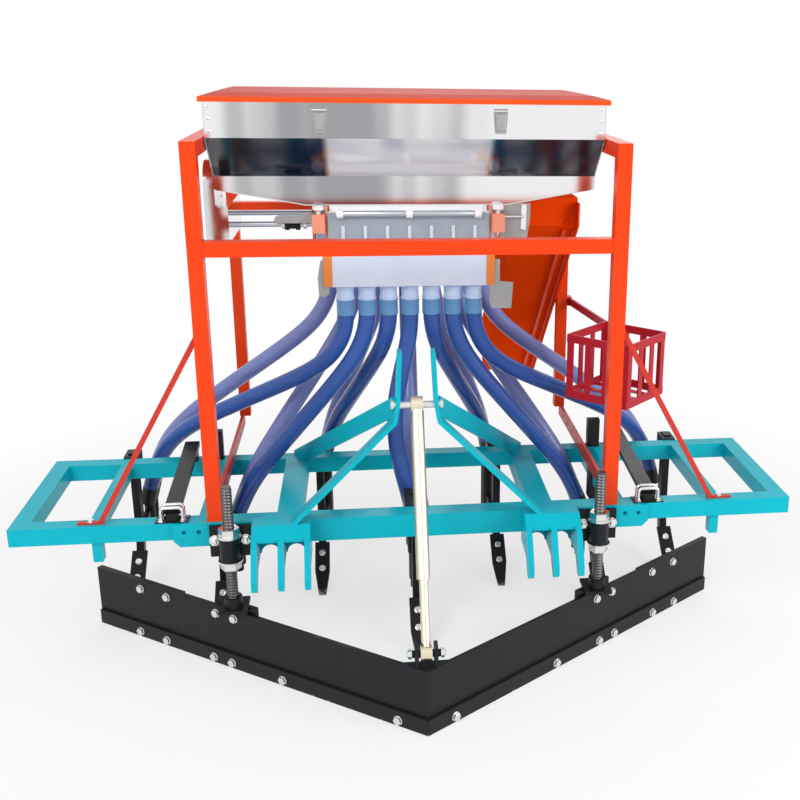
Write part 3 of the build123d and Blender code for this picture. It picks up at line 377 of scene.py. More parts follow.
def front_painted_reflections(place):
    """Painted reflections: pale and grey on the band and the trough, pale in the slope's middle, dark at
    its ends.
    """
    painted_streak = (place.noise(5.0, 2, (1, 0.0, 0.06)) + place.axis(0) * 0.22).rise(0.36, 0.60)
    band = painted_streak.blend((0.36, 0.36, 0.38), (0.86, 0.86, 0.87))
    # painted reflection of the ground: dark, partly bluish patches on the ends of the slope
    patch = place.noise(6.0, 2, (1, 1, 0.3)).rise(0.4, 0.6)
    painted_dark_reflection = patch.blend((0.075, 0.07, 0.075), (0.045, 0.055, 0.10))
    # painted reflection: a pale patch on the slope above the metering unit
    painted_shine = place.noise(8.0, 2, (0.05, 1, 3)).rise(0.35, 0.6)
    middle = painted_shine.blend((0.42, 0.42, 0.45), (0.80, 0.80, 0.82))
    plain = front_middle(place).blend(band, middle)
    return (front_slope(place) * front_aside(place) * 0.9).blend(plain, painted_dark_reflection)


front_sheet = finish(
    "front_sheet",
    {},
    lambda place: {
        "Base Color": front_painted_reflections(place),
        # less metal on the slope's middle, so that its painted pale reflection shows
        "Metallic": 1 - front_middle(place) * 0.6,
        "Roughness": place.noise(30.0, 3, ALONG) * 0.1 + 0.07,
        "Normal": (place.noise(900.0, 2, ALONG) * 0.15 + place.noise(2.6, 1) * 10).bump(0.05, 0.004),
    },
)
print("front sheet", front_sheet.name)

# %% [markdown]
# The lower half of the brace is a threaded rod. Its thread runs in a sleeve of nearly the same
# size, so a raised helix would jam. A sine along the rod's own axis bumps the surface instead: the
# dot product of a place with that axis counts the turns.

# %% Threaded rod of the brace
APEX_PIN = at(0, -0.370, 0.212)
MAST_PIN = at(0, -0.040, 0.783)
ROD_AXIS = (APEX_PIN - MAST_PIN).normalized()
ROD_PITCH = 0.005


def turns(place):
    """A wave that goes up and down once for each turn of the rod's thread."""
    dot = {"operation": "DOT_PRODUCT"}
    run = place.node("ShaderNodeVectorMath", dot, out=1, i0=place, i1=tuple(ROD_AXIS))
    return run.maths("SINE", run * (2 * math.pi / ROD_PITCH))


threaded_gold = finish(
    "gold_thread",
    {"Metallic": 1.0},
    lambda place: {
        # painted shade: the colour darkens in the grooves of the thread, where the bump sinks
        "Base Color": (turns(place) * 0.5 + 0.5).blend((0.74, 0.66, 0.48), (0.84, 0.77, 0.60)),
        "Roughness": place.noise(40.0) * 0.1 + 0.22,
        "Normal": turns(place).bump(0.1, 0.0006),
    },
)
print("rod axis", [round(v, 3) for v in ROD_AXIS])

# %% [markdown]
# The spigots and the outlet box are moulded in white plastic, and the hoses are clear tinted
# plastic. The hoses let light through, so the shader's transmission does part of the work and the
# surface keeps a sharp gloss. The cuffs that push over the spigots are the same plastic, stretched
# thin and paler.

# %% Plastics


def moulded(name, low, high):
    """Opaque plastic between two shades, with a fine moulded skin."""
    return finish(
        name,
        {"Subsurface Weight": 0.08, "Specular IOR Level": 0.5},
        lambda place: {
            "Base Color": place.noise(12.0).blend(low, high),
            "Roughness": place.noise(50.0) * 0.1 + 0.3,
            "Normal": place.noise(300.0, 2).bump(0.05, 0.0005),
        },
    )


def tinted_hose(name, shade, dark, clear):
    """Glossy plastic that lets part of the light through."""
    return finish(
        name,
        {"Transmission Weight": clear, "IOR": 1.3, "Coat Weight": 0.25, "Coat Roughness": 0.08},
        lambda place: {
            "Base Color": place.noise(5.0, 3, (1, 1, 0.4)).blend(dark, shade),
            "Roughness": place.noise(25.0) * 0.12 + 0.14,
            "Normal": place.noise(9.0, 2).bump(0.12, 0.004),
        },
    )


white = moulded("white_plastic", (0.58, 0.63, 0.77), (0.68, 0.73, 0.85))
pale_blue = moulded("pale_spigot", (0.46, 0.58, 0.84), (0.60, 0.71, 0.90))
knob_white = moulded("knob_white", (0.78, 0.78, 0.80), (0.86, 0.86, 0.88))
seed_blue = tinted_hose("seed_hose_blue", (0.052, 0.150, 0.52), (0.026, 0.080, 0.34), 0.25)
feed_blue = tinted_hose("feed_hose_violet", (0.31, 0.36, 0.70), (0.19, 0.23, 0.54), 0.3)
cuff_blue = tinted_hose("cuff_blue", (0.20, 0.46, 0.80), (0.13, 0.33, 0.66), 0.3)
print("finishes", len(FINISHES))

# %% [markdown]
# Every solid of the model but the hoses gets one of these finishes. Sharp CAD edges catch no light,
# so a narrow bevel goes over each node as a modifier, which leaves the node's own mesh alone.

# %% Paint the solids
EDGE_WIDTH = 0.0012
EDGE_ANGLE = math.radians(50)
COATS = {
    teal: ["toolbar_front", "toolbar_rear", "toolbar_ends", "toolbar_members", "hitch_left",
           "hitch_right", "mast_plates", "mast_braces"],
    orange: ["stand_posts", "stand_rails"],
    lid_red: ["lid"],
    lit_case_orange: ["chain_case"],
    salmon: ["meter_brackets"],
    stay_red: ["side_stays", "foot_rails"],
    red: ["basket"],
    black: ["blade_left", "blade_right", "blade_extensions", "blade_feet", "apex_clevis", "jack_clamps",
            "tines", "tine_clamps", "boots", "side_arms"],
    edge_black: ["blade_edges"],
    shovel_black: ["shovels"],
    front_sheet: ["hopper_front"],
    stainless: ["hopper_rear", "hopper_ends", "hopper_ridge", "hopper_floors", "gear_cover"],
    aluminium: ["shaft_front", "shaft_rear"],
    channel_grey: ["meter_channels"],
    zinc: ["mast_pin", "jack_nuts"],
    gold_zinc: ["brace_sleeve"],
    threaded_gold: ["brace_rod"],
    oiled: ["lift_screws"],
    white: ["meter_boxes"],
    pale_blue: ["spigots"],
}
for coat, names in COATS.items():
    for name in names:
        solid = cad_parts[name]
        solid.data.materials.clear()
        solid.data.materials.append(coat)
        soft = solid.modifiers.new("edge", "BEVEL")
        soft.width = EDGE_WIDTH
        soft.segments = 2
        soft.limit_method = "ANGLE"
        soft.angle_limit = EDGE_ANGLE
print("painted", sum(len(names) for names in COATS.values()))

# %% [markdown]
# Each row gets two hoses, one from the front metering unit and one from the rear unit. A hose is a
# fixed length of something flexible: it leaves its spigot straight down, leans over to its row and
# enters the boot on the tine. The points below are the corners of that route, and a NURBS curve
# draws the smooth line near them. The left hoses mirror the right ones, and the middle row has its
# own. The length of a hose is read from a copy of its curve without the round bevel.

# %% Hoses
HOSE_R = 0.025
MIDDLE_ROW = 4
ROUTES = {
    ("seed", 0): [
        (0.0000, -0.1907, 1.0030), (0.0000, -0.1907, 0.9587), (-0.0023, -0.1926, 0.9145),
        (-0.0088, -0.1962, 0.8704), (-0.0191, -0.2016, 0.8241), (-0.0338, -0.2097, 0.7664),
        (-0.0513, -0.2229, 0.6800), (-0.0508, -0.2407, 0.5649), (-0.0329, -0.2539, 0.4785),
        (-0.0182, -0.2622, 0.4208), (-0.0082, -0.2681, 0.3746), (-0.0020, -0.2730, 0.3306),
        (0.0000, -0.2767, 0.2900),
    ],
    ("feed", 0): [
        (0.0000, 0.0393, 1.0700), (0.0000, 0.0393, 1.0191), (0.0000, 0.0337, 0.9685),
        (0.0000, 0.0228, 0.9188), (0.0000, 0.0066, 0.8677), (0.0000, -0.0176, 0.8053),
        (0.0000, -0.0565, 0.7127), (0.0000, -0.1094, 0.5896), (0.0000, -0.1485, 0.4971),
        (0.0000, -0.1732, 0.4349), (0.0000, -0.1909, 0.3843), (0.0000, -0.2054, 0.3355),
        (0.0000, -0.2167, 0.2900),
    ],
    ("seed", 1): [
        (0.0625, -0.1907, 1.0030), (0.0625, -0.1907, 0.9587), (0.0672, -0.1827, 0.9153),
        (0.0763, -0.1672, 0.8748), (0.0896, -0.1445, 0.8362), (0.1090, -0.1115, 0.7922),
        (0.1398, -0.0590, 0.7294), (0.1817, 0.0122, 0.6470), (0.2126, 0.0650, 0.5845),
        (0.2324, 0.0986, 0.5410), (0.2467, 0.1230, 0.5040), (0.2586, 0.1433, 0.4664),
        (0.2680, 0.1593, 0.4300),
    ],
    ("feed", 1): [
        (0.0780, 0.0393, 1.0700), (0.0780, 0.0393, 1.0270), (0.0822, 0.0432, 0.9844),
        (0.0903, 0.0509, 0.9428), (0.1024, 0.0624, 0.9008), (0.1204, 0.0794, 0.8498),
        (0.1492, 0.1067, 0.7748), (0.1883, 0.1438, 0.6753), (0.2173, 0.1712, 0.6004),
        (0.2356, 0.1886, 0.5497), (0.2488, 0.2011, 0.5082), (0.2596, 0.2113, 0.4679),
        (0.2680, 0.2193, 0.4300),
    ],
    ("seed", 2): [
        (0.1250, -0.1907, 1.0030), (0.1250, -0.1907, 0.9526), (0.1344, -0.1889, 0.9031),
        (0.1524, -0.1855, 0.8562), (0.1790, -0.1804, 0.8106), (0.2180, -0.1729, 0.7575),
        (0.2802, -0.1610, 0.6808), (0.3646, -0.1449, 0.5798), (0.4271, -0.1329, 0.5033),
        (0.4668, -0.1253, 0.4508), (0.4955, -0.1198, 0.4065), (0.5193, -0.1153, 0.3623),
        (0.5380, -0.1117, 0.3200),
    ],
    ("feed", 2): [
        (0.1560, 0.0393, 1.0700), (0.1560, 0.0393, 1.0170), (0.1645, 0.0371, 0.9648),
        (0.1811, 0.0329, 0.9146), (0.2056, 0.0267, 0.8649), (0.2416, 0.0175, 0.8059),
        (0.2994, 0.0029, 0.7199), (0.3777, -0.0170, 0.6063), (0.4357, -0.0317, 0.5205),
        (0.4725, -0.0411, 0.4620), (0.4990, -0.0478, 0.4134), (0.5208, -0.0534, 0.3655),
        (0.5380, -0.0577, 0.3200),
    ],
    ("seed", 3): [
        (0.1875, -0.1907, 1.0030), (0.1875, -0.1907, 0.9397), (0.2046, -0.1817, 0.8795),
        (0.2372, -0.1646, 0.8281), (0.2830, -0.1407, 0.7860), (0.3467, -0.1073, 0.7441),
        (0.4452, -0.0556, 0.6873), (0.5772, 0.0136, 0.6132), (0.6745, 0.0647, 0.5539),
        (0.7356, 0.0967, 0.5073), (0.7788, 0.1193, 0.4619), (0.8124, 0.1369, 0.4113),
        (0.8381, 0.1504, 0.3551), (0.8550, 0.1593, 0.3000),
    ],
    ("feed", 3): [
        (0.2340, 0.0393, 1.0700), (0.2340, 0.0393, 1.0092), (0.2493, 0.0437, 0.9506),
        (0.2788, 0.0523, 0.8981), (0.3210, 0.0645, 0.8516), (0.3807, 0.0818, 0.8013),
        (0.4736, 0.1087, 0.7303), (0.5983, 0.1449, 0.6369), (0.6899, 0.1714, 0.5641),
        (0.7467, 0.1879, 0.5103), (0.7863, 0.1994, 0.4614), (0.8168, 0.2082, 0.4095),
        (0.8399, 0.2149, 0.3537), (0.8550, 0.2193, 0.3000),
    ],
}
HOSE_LENGTHS = {}


def drawn_length(line):
    """The length of a curve's centre line."""
    bare = line.copy()
    bare.bevel_depth = 0
    probe = bpy.data.objects.new("probe", bare)
    walk = bpy.data.meshes.new_from_object(probe)
    spots = [corner.co.copy() for corner in walk.vertices]
    bpy.data.objects.remove(probe)
    bpy.data.curves.remove(bare)
    bpy.data.meshes.remove(walk)
    return sum((a - b).length for a, b in zip(spots, spots[1:]))


def hose(kind, row, points):
    """One hose as a round-bevelled NURBS curve that stands for its solid."""
    name = f"{kind}_hose_{row + MIDDLE_ROW}"
    line = bpy.data.curves.new(name + "_line", "CURVE")
    line.dimensions = "3D"
    line.bevel_depth = HOSE_R
    line.bevel_resolution = 6
    line.resolution_u = 10
    spline = line.splines.new("NURBS")
    spline.points.add(len(points) - 1)
    for point, place in zip(spline.points, points):
        point.co = (*place, 1)
    spline.order_u = 3
    spline.use_endpoint_u = True
    piece = bpy.data.objects.new(name + "_tube", line)
    bpy.context.collection.objects.link(piece)
    line.materials.append(seed_blue if kind == "seed" else feed_blue)
    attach(piece, "frame")
    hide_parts(name)
    length = drawn_length(line)
    HOSE_LENGTHS[name] = round(length, 3)


for (kind, row), points in ROUTES.items():
    hose(kind, row, points)
    if row:
        hose(kind, -row, [(-x, y, z) for x, y, z in points])
print("hoses", HOSE_LENGTHS)

# %% [markdown]
# Most small metalwork on the drill is turned: washers, knobs, collars, cuffs and rivets. A lathe
# needs only a list of radii and heights. The helpers below set rings of points at a place, join
# them with faces, and mark the rings where the profile turns sharply, so that smooth shading stays
# crisp there. With six sides the same helpers make a hexagon head.

# %% Turned pieces
CREASE = 0.6
ROUND_FROM = 8


def stand(place, out):
    """The matrix that puts an upright thing at a place, pointing out."""
    return Matrix.Translation(place) @ Vector(out).to_track_quat("Z", "Y").to_matrix().to_4x4()


def ring(mesh, lift, radius, height, sides):
    """Points on a circle at a height, carried to their place."""
    angles = [2 * math.pi * j / sides for j in range(sides)]
    spots = [Vector((radius * math.cos(a), radius * math.sin(a), height)) for a in angles]
    return [mesh.verts.new(lift @ spot) for spot in spots]


def skin(mesh, rings, smooth):
    """Joins the rings with faces and closes both ends."""
    sides = len(rings[0])
    for low, high in zip(rings, rings[1:]):
        for j in range(sides):
            k = (j + 1) % sides
            face = mesh.faces.new((low[j], low[k], high[k], high[j]))
            face.smooth = smooth
    mesh.faces.new(list(reversed(rings[0])))
    mesh.faces.new(rings[-1])


def stamp(mesh, place, out, profile, sides):
    """A turned profile of (radius, height) at a place, pointing out of the surface."""
    lift = stand(place, out)
    rings = [ring(mesh, lift, radius, height, sides) for radius, height in profile]
    skin(mesh, rings, sides > ROUND_FROM)
    for k, loop in enumerate(rings):
        sharp = k in (0, len(rings) - 1)
        if not sharp:
            before = Vector(profile[k]) - Vector(profile[k - 1])
            after = Vector(profile[k + 1]) - Vector(profile[k])
            sharp = before.angle(after, 0.0) > CREASE
        if sharp:
            for a, b in zip(loop, loop[1:] + loop[:1]):
                mesh.edges.get((a, b)).smooth = False


def keep(mesh, name, body, coat):
    """Turns a finished mesh into a piece that rides on a body."""
    data = bpy.data.meshes.new(name)
    mesh.to_mesh(data)
    mesh.free()
    data.materials.append(coat)
    piece = bpy.data.objects.new(name, data)
    bpy.context.collection.objects.link(piece)
    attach(piece, body)
    return piece


print("lathe ready")

# %% [markdown]
# Bolts hold the drill together, and there are far too many to model by hand. Each is a washer, a
# hexagon head with a chamfered rim and, where the nut faces out, the end of the thread. A list of
# places per body keeps each bolt moving with what it holds. The first are on the blade: its wings
# run back from the apex, so a bolt's place is counted along the wing. Most pieces come in pairs, so
# each side gets a sign and a name that the loops share.

# %% Blade bolts
SIDES = {-1: "left", 1: "right"}
X, Y, Z = Vector((1, 0, 0)), Vector((0, 1, 0)), Vector((0, 0, 1))
APEX_DEPTH = -0.416
WING_WIDE, WING_DEEP = 0.962, 0.705
WING_RUN = math.hypot(WING_WIDE, WING_DEEP)
WING = Vector((WING_WIDE / WING_RUN, WING_DEEP / WING_RUN, 0))
FACE = Vector((WING.y, -WING.x, 0))
EDGE_STRIP = 0.008
LOW_BOLT_Z, TOP_BOLT_Z = 0.018, 0.158
CLEVIS_HALF = 0.038


def bolts(name, body, places, size, stub=0.0):
    """A mesh of bolts: each place is a point and the direction that the head faces."""
    mesh = bmesh.new()
    seat, top = 0.14 * size, 0.76 * size
    end = top + stub
    washer = [(1.05 * size, 0), (1.05 * size, seat)]
    head = [(0.95 * size, seat), (0.95 * size, 0.9 * top), (0.8 * size, top)]
    thread_end = [(0.5 * size, top), (0.5 * size, end - 0.08 * size), (0.38 * size, end)]
    for place, out in places:
        stamp(mesh, place, out, washer, 24)
        stamp(mesh, place, out, head, 6)
        if stub:
            stamp(mesh, place, out, thread_end, 16)
    keep(mesh, name, body, zinc)


def on_wing(side, run, out, z):
    """A point of a wing of the blade: run from the apex, out in front of its face."""
    spot = at(0, APEX_DEPTH, z) + WING * run + FACE * out
    return Vector((side * spot.x, spot.y, spot.z))


edge_bolts = []
for s in SIDES:
    facing = Vector((s * FACE.x, FACE.y, 0))
    for run in (0.088, 0.475, 0.659, 0.727, 0.912, 1.019):
        edge_bolts.append((on_wing(s, run, EDGE_STRIP, LOW_BOLT_Z), facing))
    for run in (0.650, 0.717, 0.908, 1.013):
        edge_bolts.append((on_wing(s, run, 0.0, TOP_BOLT_Z), facing))
bolts("blade_bolts", "blade", edge_bolts, 0.0125)
pin_nuts = [(APEX_PIN + X * (s * CLEVIS_HALF), X * s) for s in SIDES]
bolts("clevis_nuts", "blade", pin_nuts, 0.013, 0.004)
print("blade bolts", len(edge_bolts), "clevis nuts", len(pin_nuts))

# %% [markdown]
# The next bolts stay with the frame: two on each clamp of the lift screws, two on each shovel and
# one on the foot of each side stay. A shovel leans back, so its bolts are counted up its slope and
# face away from it.

# %% Clamp, shovel and stay bolts
SCREW_X = 0.520
CLAMP_HALF = 0.042
CLAMP_FACE, CLAMP_BOLT_Z = -0.020, 0.398
STAY_X, STAY_DEPTH, STAY_TOP = 0.895, 0.022, 0.451
ROW_PITCH = 0.295
ROW_DEPTHS = {0: 0.122, 1: 0.544, 2: 0.297, 3: 0.544}
SHOVEL_REACH = 0.164
SHOVEL_LEAN = math.radians(40)
clamp_places = [SCREW_X - CLAMP_HALF, SCREW_X + CLAMP_HALF]
clamp_bolts = [(at(s * x, CLAMP_FACE, CLAMP_BOLT_Z), -Y) for s in SIDES for x in clamp_places]
bolts("clamp_bolts", "frame", clamp_bolts, 0.015, 0.008)
shovel_bolts = []
back, rise = math.cos(SHOVEL_LEAN), math.sin(SHOVEL_LEAN)
for row in range(-3, 4):
    tip = ROW_DEPTHS[abs(row)] - SHOVEL_REACH
    for run in (0.095, 0.150):
        shovel_bolts.append((at(row * ROW_PITCH, tip + run * back, run * rise), (0, -rise, back)))
bolts("shovel_bolts", "frame", shovel_bolts, 0.010)
stay_bolts = [(at(s * STAY_X, STAY_DEPTH, STAY_TOP), Z) for s in SIDES]
bolts("stay_foot_bolts", "frame", stay_bolts, 0.009)
print("clamp bolts", len(clamp_bolts), "shovel bolts", len(shovel_bolts), "stay bolts", len(stay_bolts))

# %% [markdown]
# The black side arms are tied to the front bar with U-bolts: a round bar bent over the arm, with
# two nuts on a small saddle. A curve with a round bevel is the natural way to bend a bar, so each
# U-bolt is a poly curve of eight points.

# %% U-bolts on the front bar
ARM_X = 0.678
U_HALF = 0.029
U_TOP = 0.4865
U_DEPTHS = (0.012, 0.036)
U_RADIUS = 0.0048
NUT_SEAT = 0.4472
BEND = [(-U_HALF, 0.447), (-U_HALF, 0.478), (-0.026, 0.484), (-0.020, U_TOP),
        (0.020, U_TOP), (0.026, 0.484), (U_HALF, 0.478), (U_HALF, 0.447)]


def bent_bar(name, body, points, radius):
    """A zinc-plated bar along points, as a bevelled curve."""
    line = bpy.data.curves.new(name, "CURVE")
    line.dimensions = "3D"
    line.bevel_depth = radius
    line.bevel_resolution = 4
    line.use_fill_caps = True
    spline = line.splines.new("POLY")
    spline.points.add(len(points) - 1)
    for point, place in zip(spline.points, points):
        point.co = (*place, 1)
    line.materials.append(zinc)
    piece = bpy.data.objects.new(name, line)
    bpy.context.collection.objects.link(piece)
    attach(piece, body)


u_nuts = []
for s, side in SIDES.items():
    for k, y in enumerate(U_DEPTHS):
        spots = [at(s * ARM_X + a, y, z) for a, z in BEND]
        bent_bar(f"u_bolt_{side}_{k}", "frame", spots, U_RADIUS)
        u_nuts += [(at(s * ARM_X + a, y, NUT_SEAT), Z) for a in (-U_HALF, U_HALF)]
bolts("u_bolt_nuts", "frame", u_nuts, 0.0095)
print("u-bolt nuts", len(u_nuts))

# %% [markdown]
# Flat pieces are cut from sheet or plate. The helper draws an outline in the plane of two
# directions, gives it a thickness and softens its edges with a bevel modifier. Its first use is
# the saddles under the U-bolts; the lever plate, the guards, the latches and the flanges of the
# drive case follow.

# %% Plates
SADDLE_LOW, SADDLE_THICK = 0.4452, 0.0022


def plate(name, body, outline, place, right, up, thick, coat, soft=0.0008):
    """A flat piece: outline points along right and up from a place, thick along right × up."""
    back = right.cross(up).normalized() * thick
    mesh = bmesh.new()
    near = [mesh.verts.new(place + right * a + up * b) for a, b in outline]
    far = [mesh.verts.new(v.co + back) for v in near]
    mesh.faces.new(list(reversed(near)))
    mesh.faces.new(far)
    for j in range(len(near)):
        k = (j + 1) % len(near)
        mesh.faces.new((near[j], near[k], far[k], far[j]))
    bmesh.ops.recalc_face_normals(mesh, faces=mesh.faces)
    piece = keep(mesh, name, body, coat)
    edge = piece.modifiers.new("edge", "BEVEL")
    edge.width = soft
    edge.segments = 2
    edge.limit_method = "ANGLE"


def rectangle(x0, x1, y0, y1):
    """The outline of a rectangle."""
    return [(x0, y0), (x1, y0), (x1, y1), (x0, y1)]


saddle = rectangle(-0.045, 0.045, 0.001, 0.049)
for s, side in SIDES.items():
    plate(f"u_saddle_{side}", "frame", saddle, at(s * ARM_X, 0, SADDLE_LOW), X, Y, SADDLE_THICK, black,
          0.0005)
print("saddles", len(SIDES))

# %% [markdown]
# The metering unit is where the drill is set. A light round bar runs along the top of its panel in
# three clips, and a knob stands on each end block. On the left a slide shifts the shaft, which is
# joined there with a dark coupling and two collars. What turns with the shaft rides on the shaft.

# %% Panel bar, knobs and coupling
UNIT_DEPTH = 0.294
SHAFT = at(0, UNIT_DEPTH, 1.225)
PANEL_BAR = at(0, 0.2425, 1.2605)
BAR_HALF = 0.209
BLOCK_X, BLOCK_DEPTH, BLOCK_TOP = 0.255, 0.260, 1.258
SLIDE_END = at(-0.273, 0.262, 1.244)


def turned(name, body, places, profile, coat, sides=28):
    """The same turned piece at each place, with the direction that it points in."""
    mesh = bmesh.new()
    for place, out in places:
        stamp(mesh, place, out, profile, sides)
    keep(mesh, name, body, coat)


bar = [(0.0045, 0), (0.0078, 0.004), (0.0090, 0.006), (0.0090, 0.412), (0.0078, 0.414), (0.0045, 0.418)]
turned("panel_bar", "frame", [(PANEL_BAR - X * BAR_HALF, X)], bar, aluminium)
clip = [(0.0065, 0), (0.0125, 0.001), (0.0125, 0.019), (0.0065, 0.020)]
clips = [(PANEL_BAR + X * x, X) for x in (-0.205, -0.010, 0.185)]
turned("panel_bar_clips", "frame", clips, clip, knob_white)
knob = [(0.006, 0), (0.006, 0.008), (0.013, 0.010), (0.0165, 0.013), (0.0165, 0.020), (0.013, 0.024),
        (0.004, 0.0255)]
knobs = [(at(s * BLOCK_X, BLOCK_DEPTH, BLOCK_TOP), Z) for s in SIDES]
turned("block_knobs", "frame", knobs, knob, knob_white)
coupling = [(0.0125, 0), (0.017, 0.002), (0.017, 0.013), (0.0135, 0.015), (0.0135, 0.030), (0.017, 0.032),
            (0.017, 0.043), (0.0125, 0.045)]
turned("shaft_coupling", "front_meter", [(SHAFT - X * 0.352, X)], coupling, black)
slide = [(-0.106, -0.004), (-0.100, -0.012), (-0.006, -0.012), (0, -0.016), (0, 0.018), (-0.020, 0.018),
         (-0.024, 0.010), (-0.092, 0.010), (-0.103, 0.006)]
plate("rate_slide", "frame", slide, SLIDE_END, X, Z, -0.005, galvanised, 0.001)
collar = [(0.0115, 0), (0.014, 0.001), (0.014, 0.010), (0.0115, 0.011)]
collars = [(SHAFT - X * x, X) for x in (0.300, 0.360)]
turned("shaft_collars", "front_meter", collars, collar, zinc)
print("clips", len(clips), "knobs", len(knobs), "collars", len(collars))

# %% [markdown]
# On the right a plate with a white bar and a pointer shows where the rate lever stands. Amber strips
# close the ends of the outlet box, and two bent guards hang behind them. All but the pointer are
# cut from sheet, so an outline of widths and heights and one depth are enough for each.

# %% Rate lever, strips and guards
LEVER_DEPTH, MARK_DEPTH = 0.281, 0.2785
STRIP_DEPTH, GUARD_DEPTH = 0.254, 0.2598
lever = [(0.262, 1.184), (0.344, 1.184), (0.352, 1.245), (0.352, 1.284), (0.262, 1.284)]
plate("rate_plate", "frame", lever, at(0, LEVER_DEPTH, 0), X, Z, 0.0025, galvanised)
mark = [(0.324, 1.210), (0.339, 1.206), (0.341, 1.280), (0.326, 1.282)]
plate("rate_bar", "frame", mark, at(0, MARK_DEPTH, 0), X, Z, 0.004, knob_white, 0.001)
pointer = [(0.0025, 0), (0.0040, 0.001), (0.0040, 0.058), (0.0025, 0.060)]
turned("rate_pointer", "frame", [(at(0.272, 0.272, 1.247), X)], pointer, zinc, 14)
for s, side in SIDES.items():
    strip = rectangle(s * 0.2225, s * 0.2465, 1.051, 1.186)
    plate(f"bracket_strip_{side}", "frame", strip, at(0, STRIP_DEPTH, 0), X, Z, 0.0025, amber,
          0.0006)
guards = {
    "right": [(0.240, 1.125), (0.262, 1.125), (0.262, 1.060), (0.302, 1.056), (0.297, 0.978),
              (0.240, 0.979), (0.232, 1.000), (0.232, 1.050), (0.240, 1.056)],
    "left": [(-0.236, 1.125), (-0.255, 1.125), (-0.264, 1.075), (-0.262, 1.026), (-0.247, 1.018),
             (-0.232, 1.030), (-0.232, 1.050)],
}
for side, outline in guards.items():
    plate(f"outlet_guard_{side}", "frame", outline, at(0, GUARD_DEPTH, 0), X, Z, 0.002, galvanised,
          0.0005)
print("strips", len(SIDES), "guards", len(guards))

# %% [markdown]
# Every outlet ends in a spigot with two raised beads, and the hose hangs below it in a pale cuff.
# Both are turned around the outlet's centre line.

# %% Outlet beads and cuffs
FRONT_PITCH, REAR_PITCH = 0.0625, 0.078
REAR_UNIT_DEPTH = 0.524
FRONT_OUTLET_Z, REAR_OUTLET_Z = 1.003, 1.070
outlets = [at(k * FRONT_PITCH, UNIT_DEPTH, FRONT_OUTLET_Z) for k in range(-3, 4)]
outlets += [at(k * REAR_PITCH, REAR_UNIT_DEPTH, REAR_OUTLET_Z) for k in range(-3, 4)]
bead_ring = [(0.0252, 0), (0.0272, 0.002), (0.0272, 0.006), (0.0252, 0.008)]
beads = [(outlet + Z * z, Z) for outlet in outlets for z in (0.002, 0.034)]
turned("spigot_beads", "frame", beads, bead_ring, pale_blue)
cuff = [(0.0252, -0.044), (0.0266, -0.043), (0.0268, -0.036), (0.0264, -0.004), (0.0276, -0.002),
        (0.0276, 0.0005), (0.0252, 0.001)]
turned("hose_cuffs", "frame", [(outlet, Z) for outlet in outlets], cuff, cuff_blue, 32)
print("outlets", len(outlets), "beads", len(beads))

# %% [markdown]
# Two clip latches sit on the front band below the lid: a folded plate on the sheet, a lever and a
# hinge pin. Rivets run down the ends of the front and rear sheets, at the joint with the end panels.

# %% Latches and rivets
BAND_FACE, REAR_FACE = 0.146, 0.672
RIVET_X = 0.524
RIVET_HEIGHTS = (1.492, 1.525, 1.556)
base = [(-0.013, 0), (0.013, 0), (0.0155, 0.003), (0.0200, 0.058), (0.0200, 0.066), (-0.0200, 0.066),
        (-0.0200, 0.058), (-0.0155, 0.003)]
flap = [(-0.0125, 0), (0.0125, 0), (0.0140, 0.044), (-0.0140, 0.044)]
pin = [(0.0025, 0), (0.0036, 0.001), (0.0036, 0.0395), (0.0025, 0.0405)]
for side, x in (("left", -0.238), ("right", 0.246)):
    plate(f"latch_body_{side}", "frame", base, at(x, BAND_FACE, 1.489), X, Z, 0.003, galvanised,
          0.001)
    plate(f"latch_lever_{side}", "frame", flap, at(x, BAND_FACE - 0.003, 1.497), X, Z, 0.004, galvanised,
          0.0015)
    turned(f"latch_pin_{side}", "frame", [(at(x - 0.0203, 0.1405, 1.549), X)], pin, zinc, 14)
rivet = [(0.0042, 0), (0.0038, 0.0012), (0.0026, 0.0021), (0.0009, 0.0025)]
rivets = [(at(s * RIVET_X, BAND_FACE, z), -Y) for s in SIDES for z in RIVET_HEIGHTS]
rivets += [(at(s * RIVET_X, REAR_FACE, z), Y) for s in SIDES for z in RIVET_HEIGHTS]
turned("sheet_rivets", "frame", rivets, rivet, zinc, 14)
print("rivets", len(rivets))

# %% [markdown]
# The drive case is a welded box with two folded flanges along its lower face. They run down the
# slope, so their direction is worked out from the two corners of that face. The cross product of
# the width and the slope points into the case, so a negative thickness makes them stand out of it.

# %% Flanges of the drive case
CASE_SIDE = 0.530
FLANGE = 0.012
case_top, case_low = at(0, 0.470, 1.188), at(0, 1.300, 0.482)
down = (case_low - case_top).normalized()
run = (case_low - case_top).length
for k, (x0, x1) in enumerate(((0.484, 0.496), (0.516, CASE_SIDE))):
    fold = rectangle(x0, x1, FLANGE, run - FLANGE)
    plate(f"case_flange_{k}", "frame", fold, case_top, X, down, -FLANGE, orange, 0.002)
print("flange length", round(run, 3))

# %% [markdown]
# The rear of the drill is closed with covers. Small screws run round the drive case, a bearing with
# a flange carries its stub shaft, and the pins of the lid's hinges have a head at both ends.

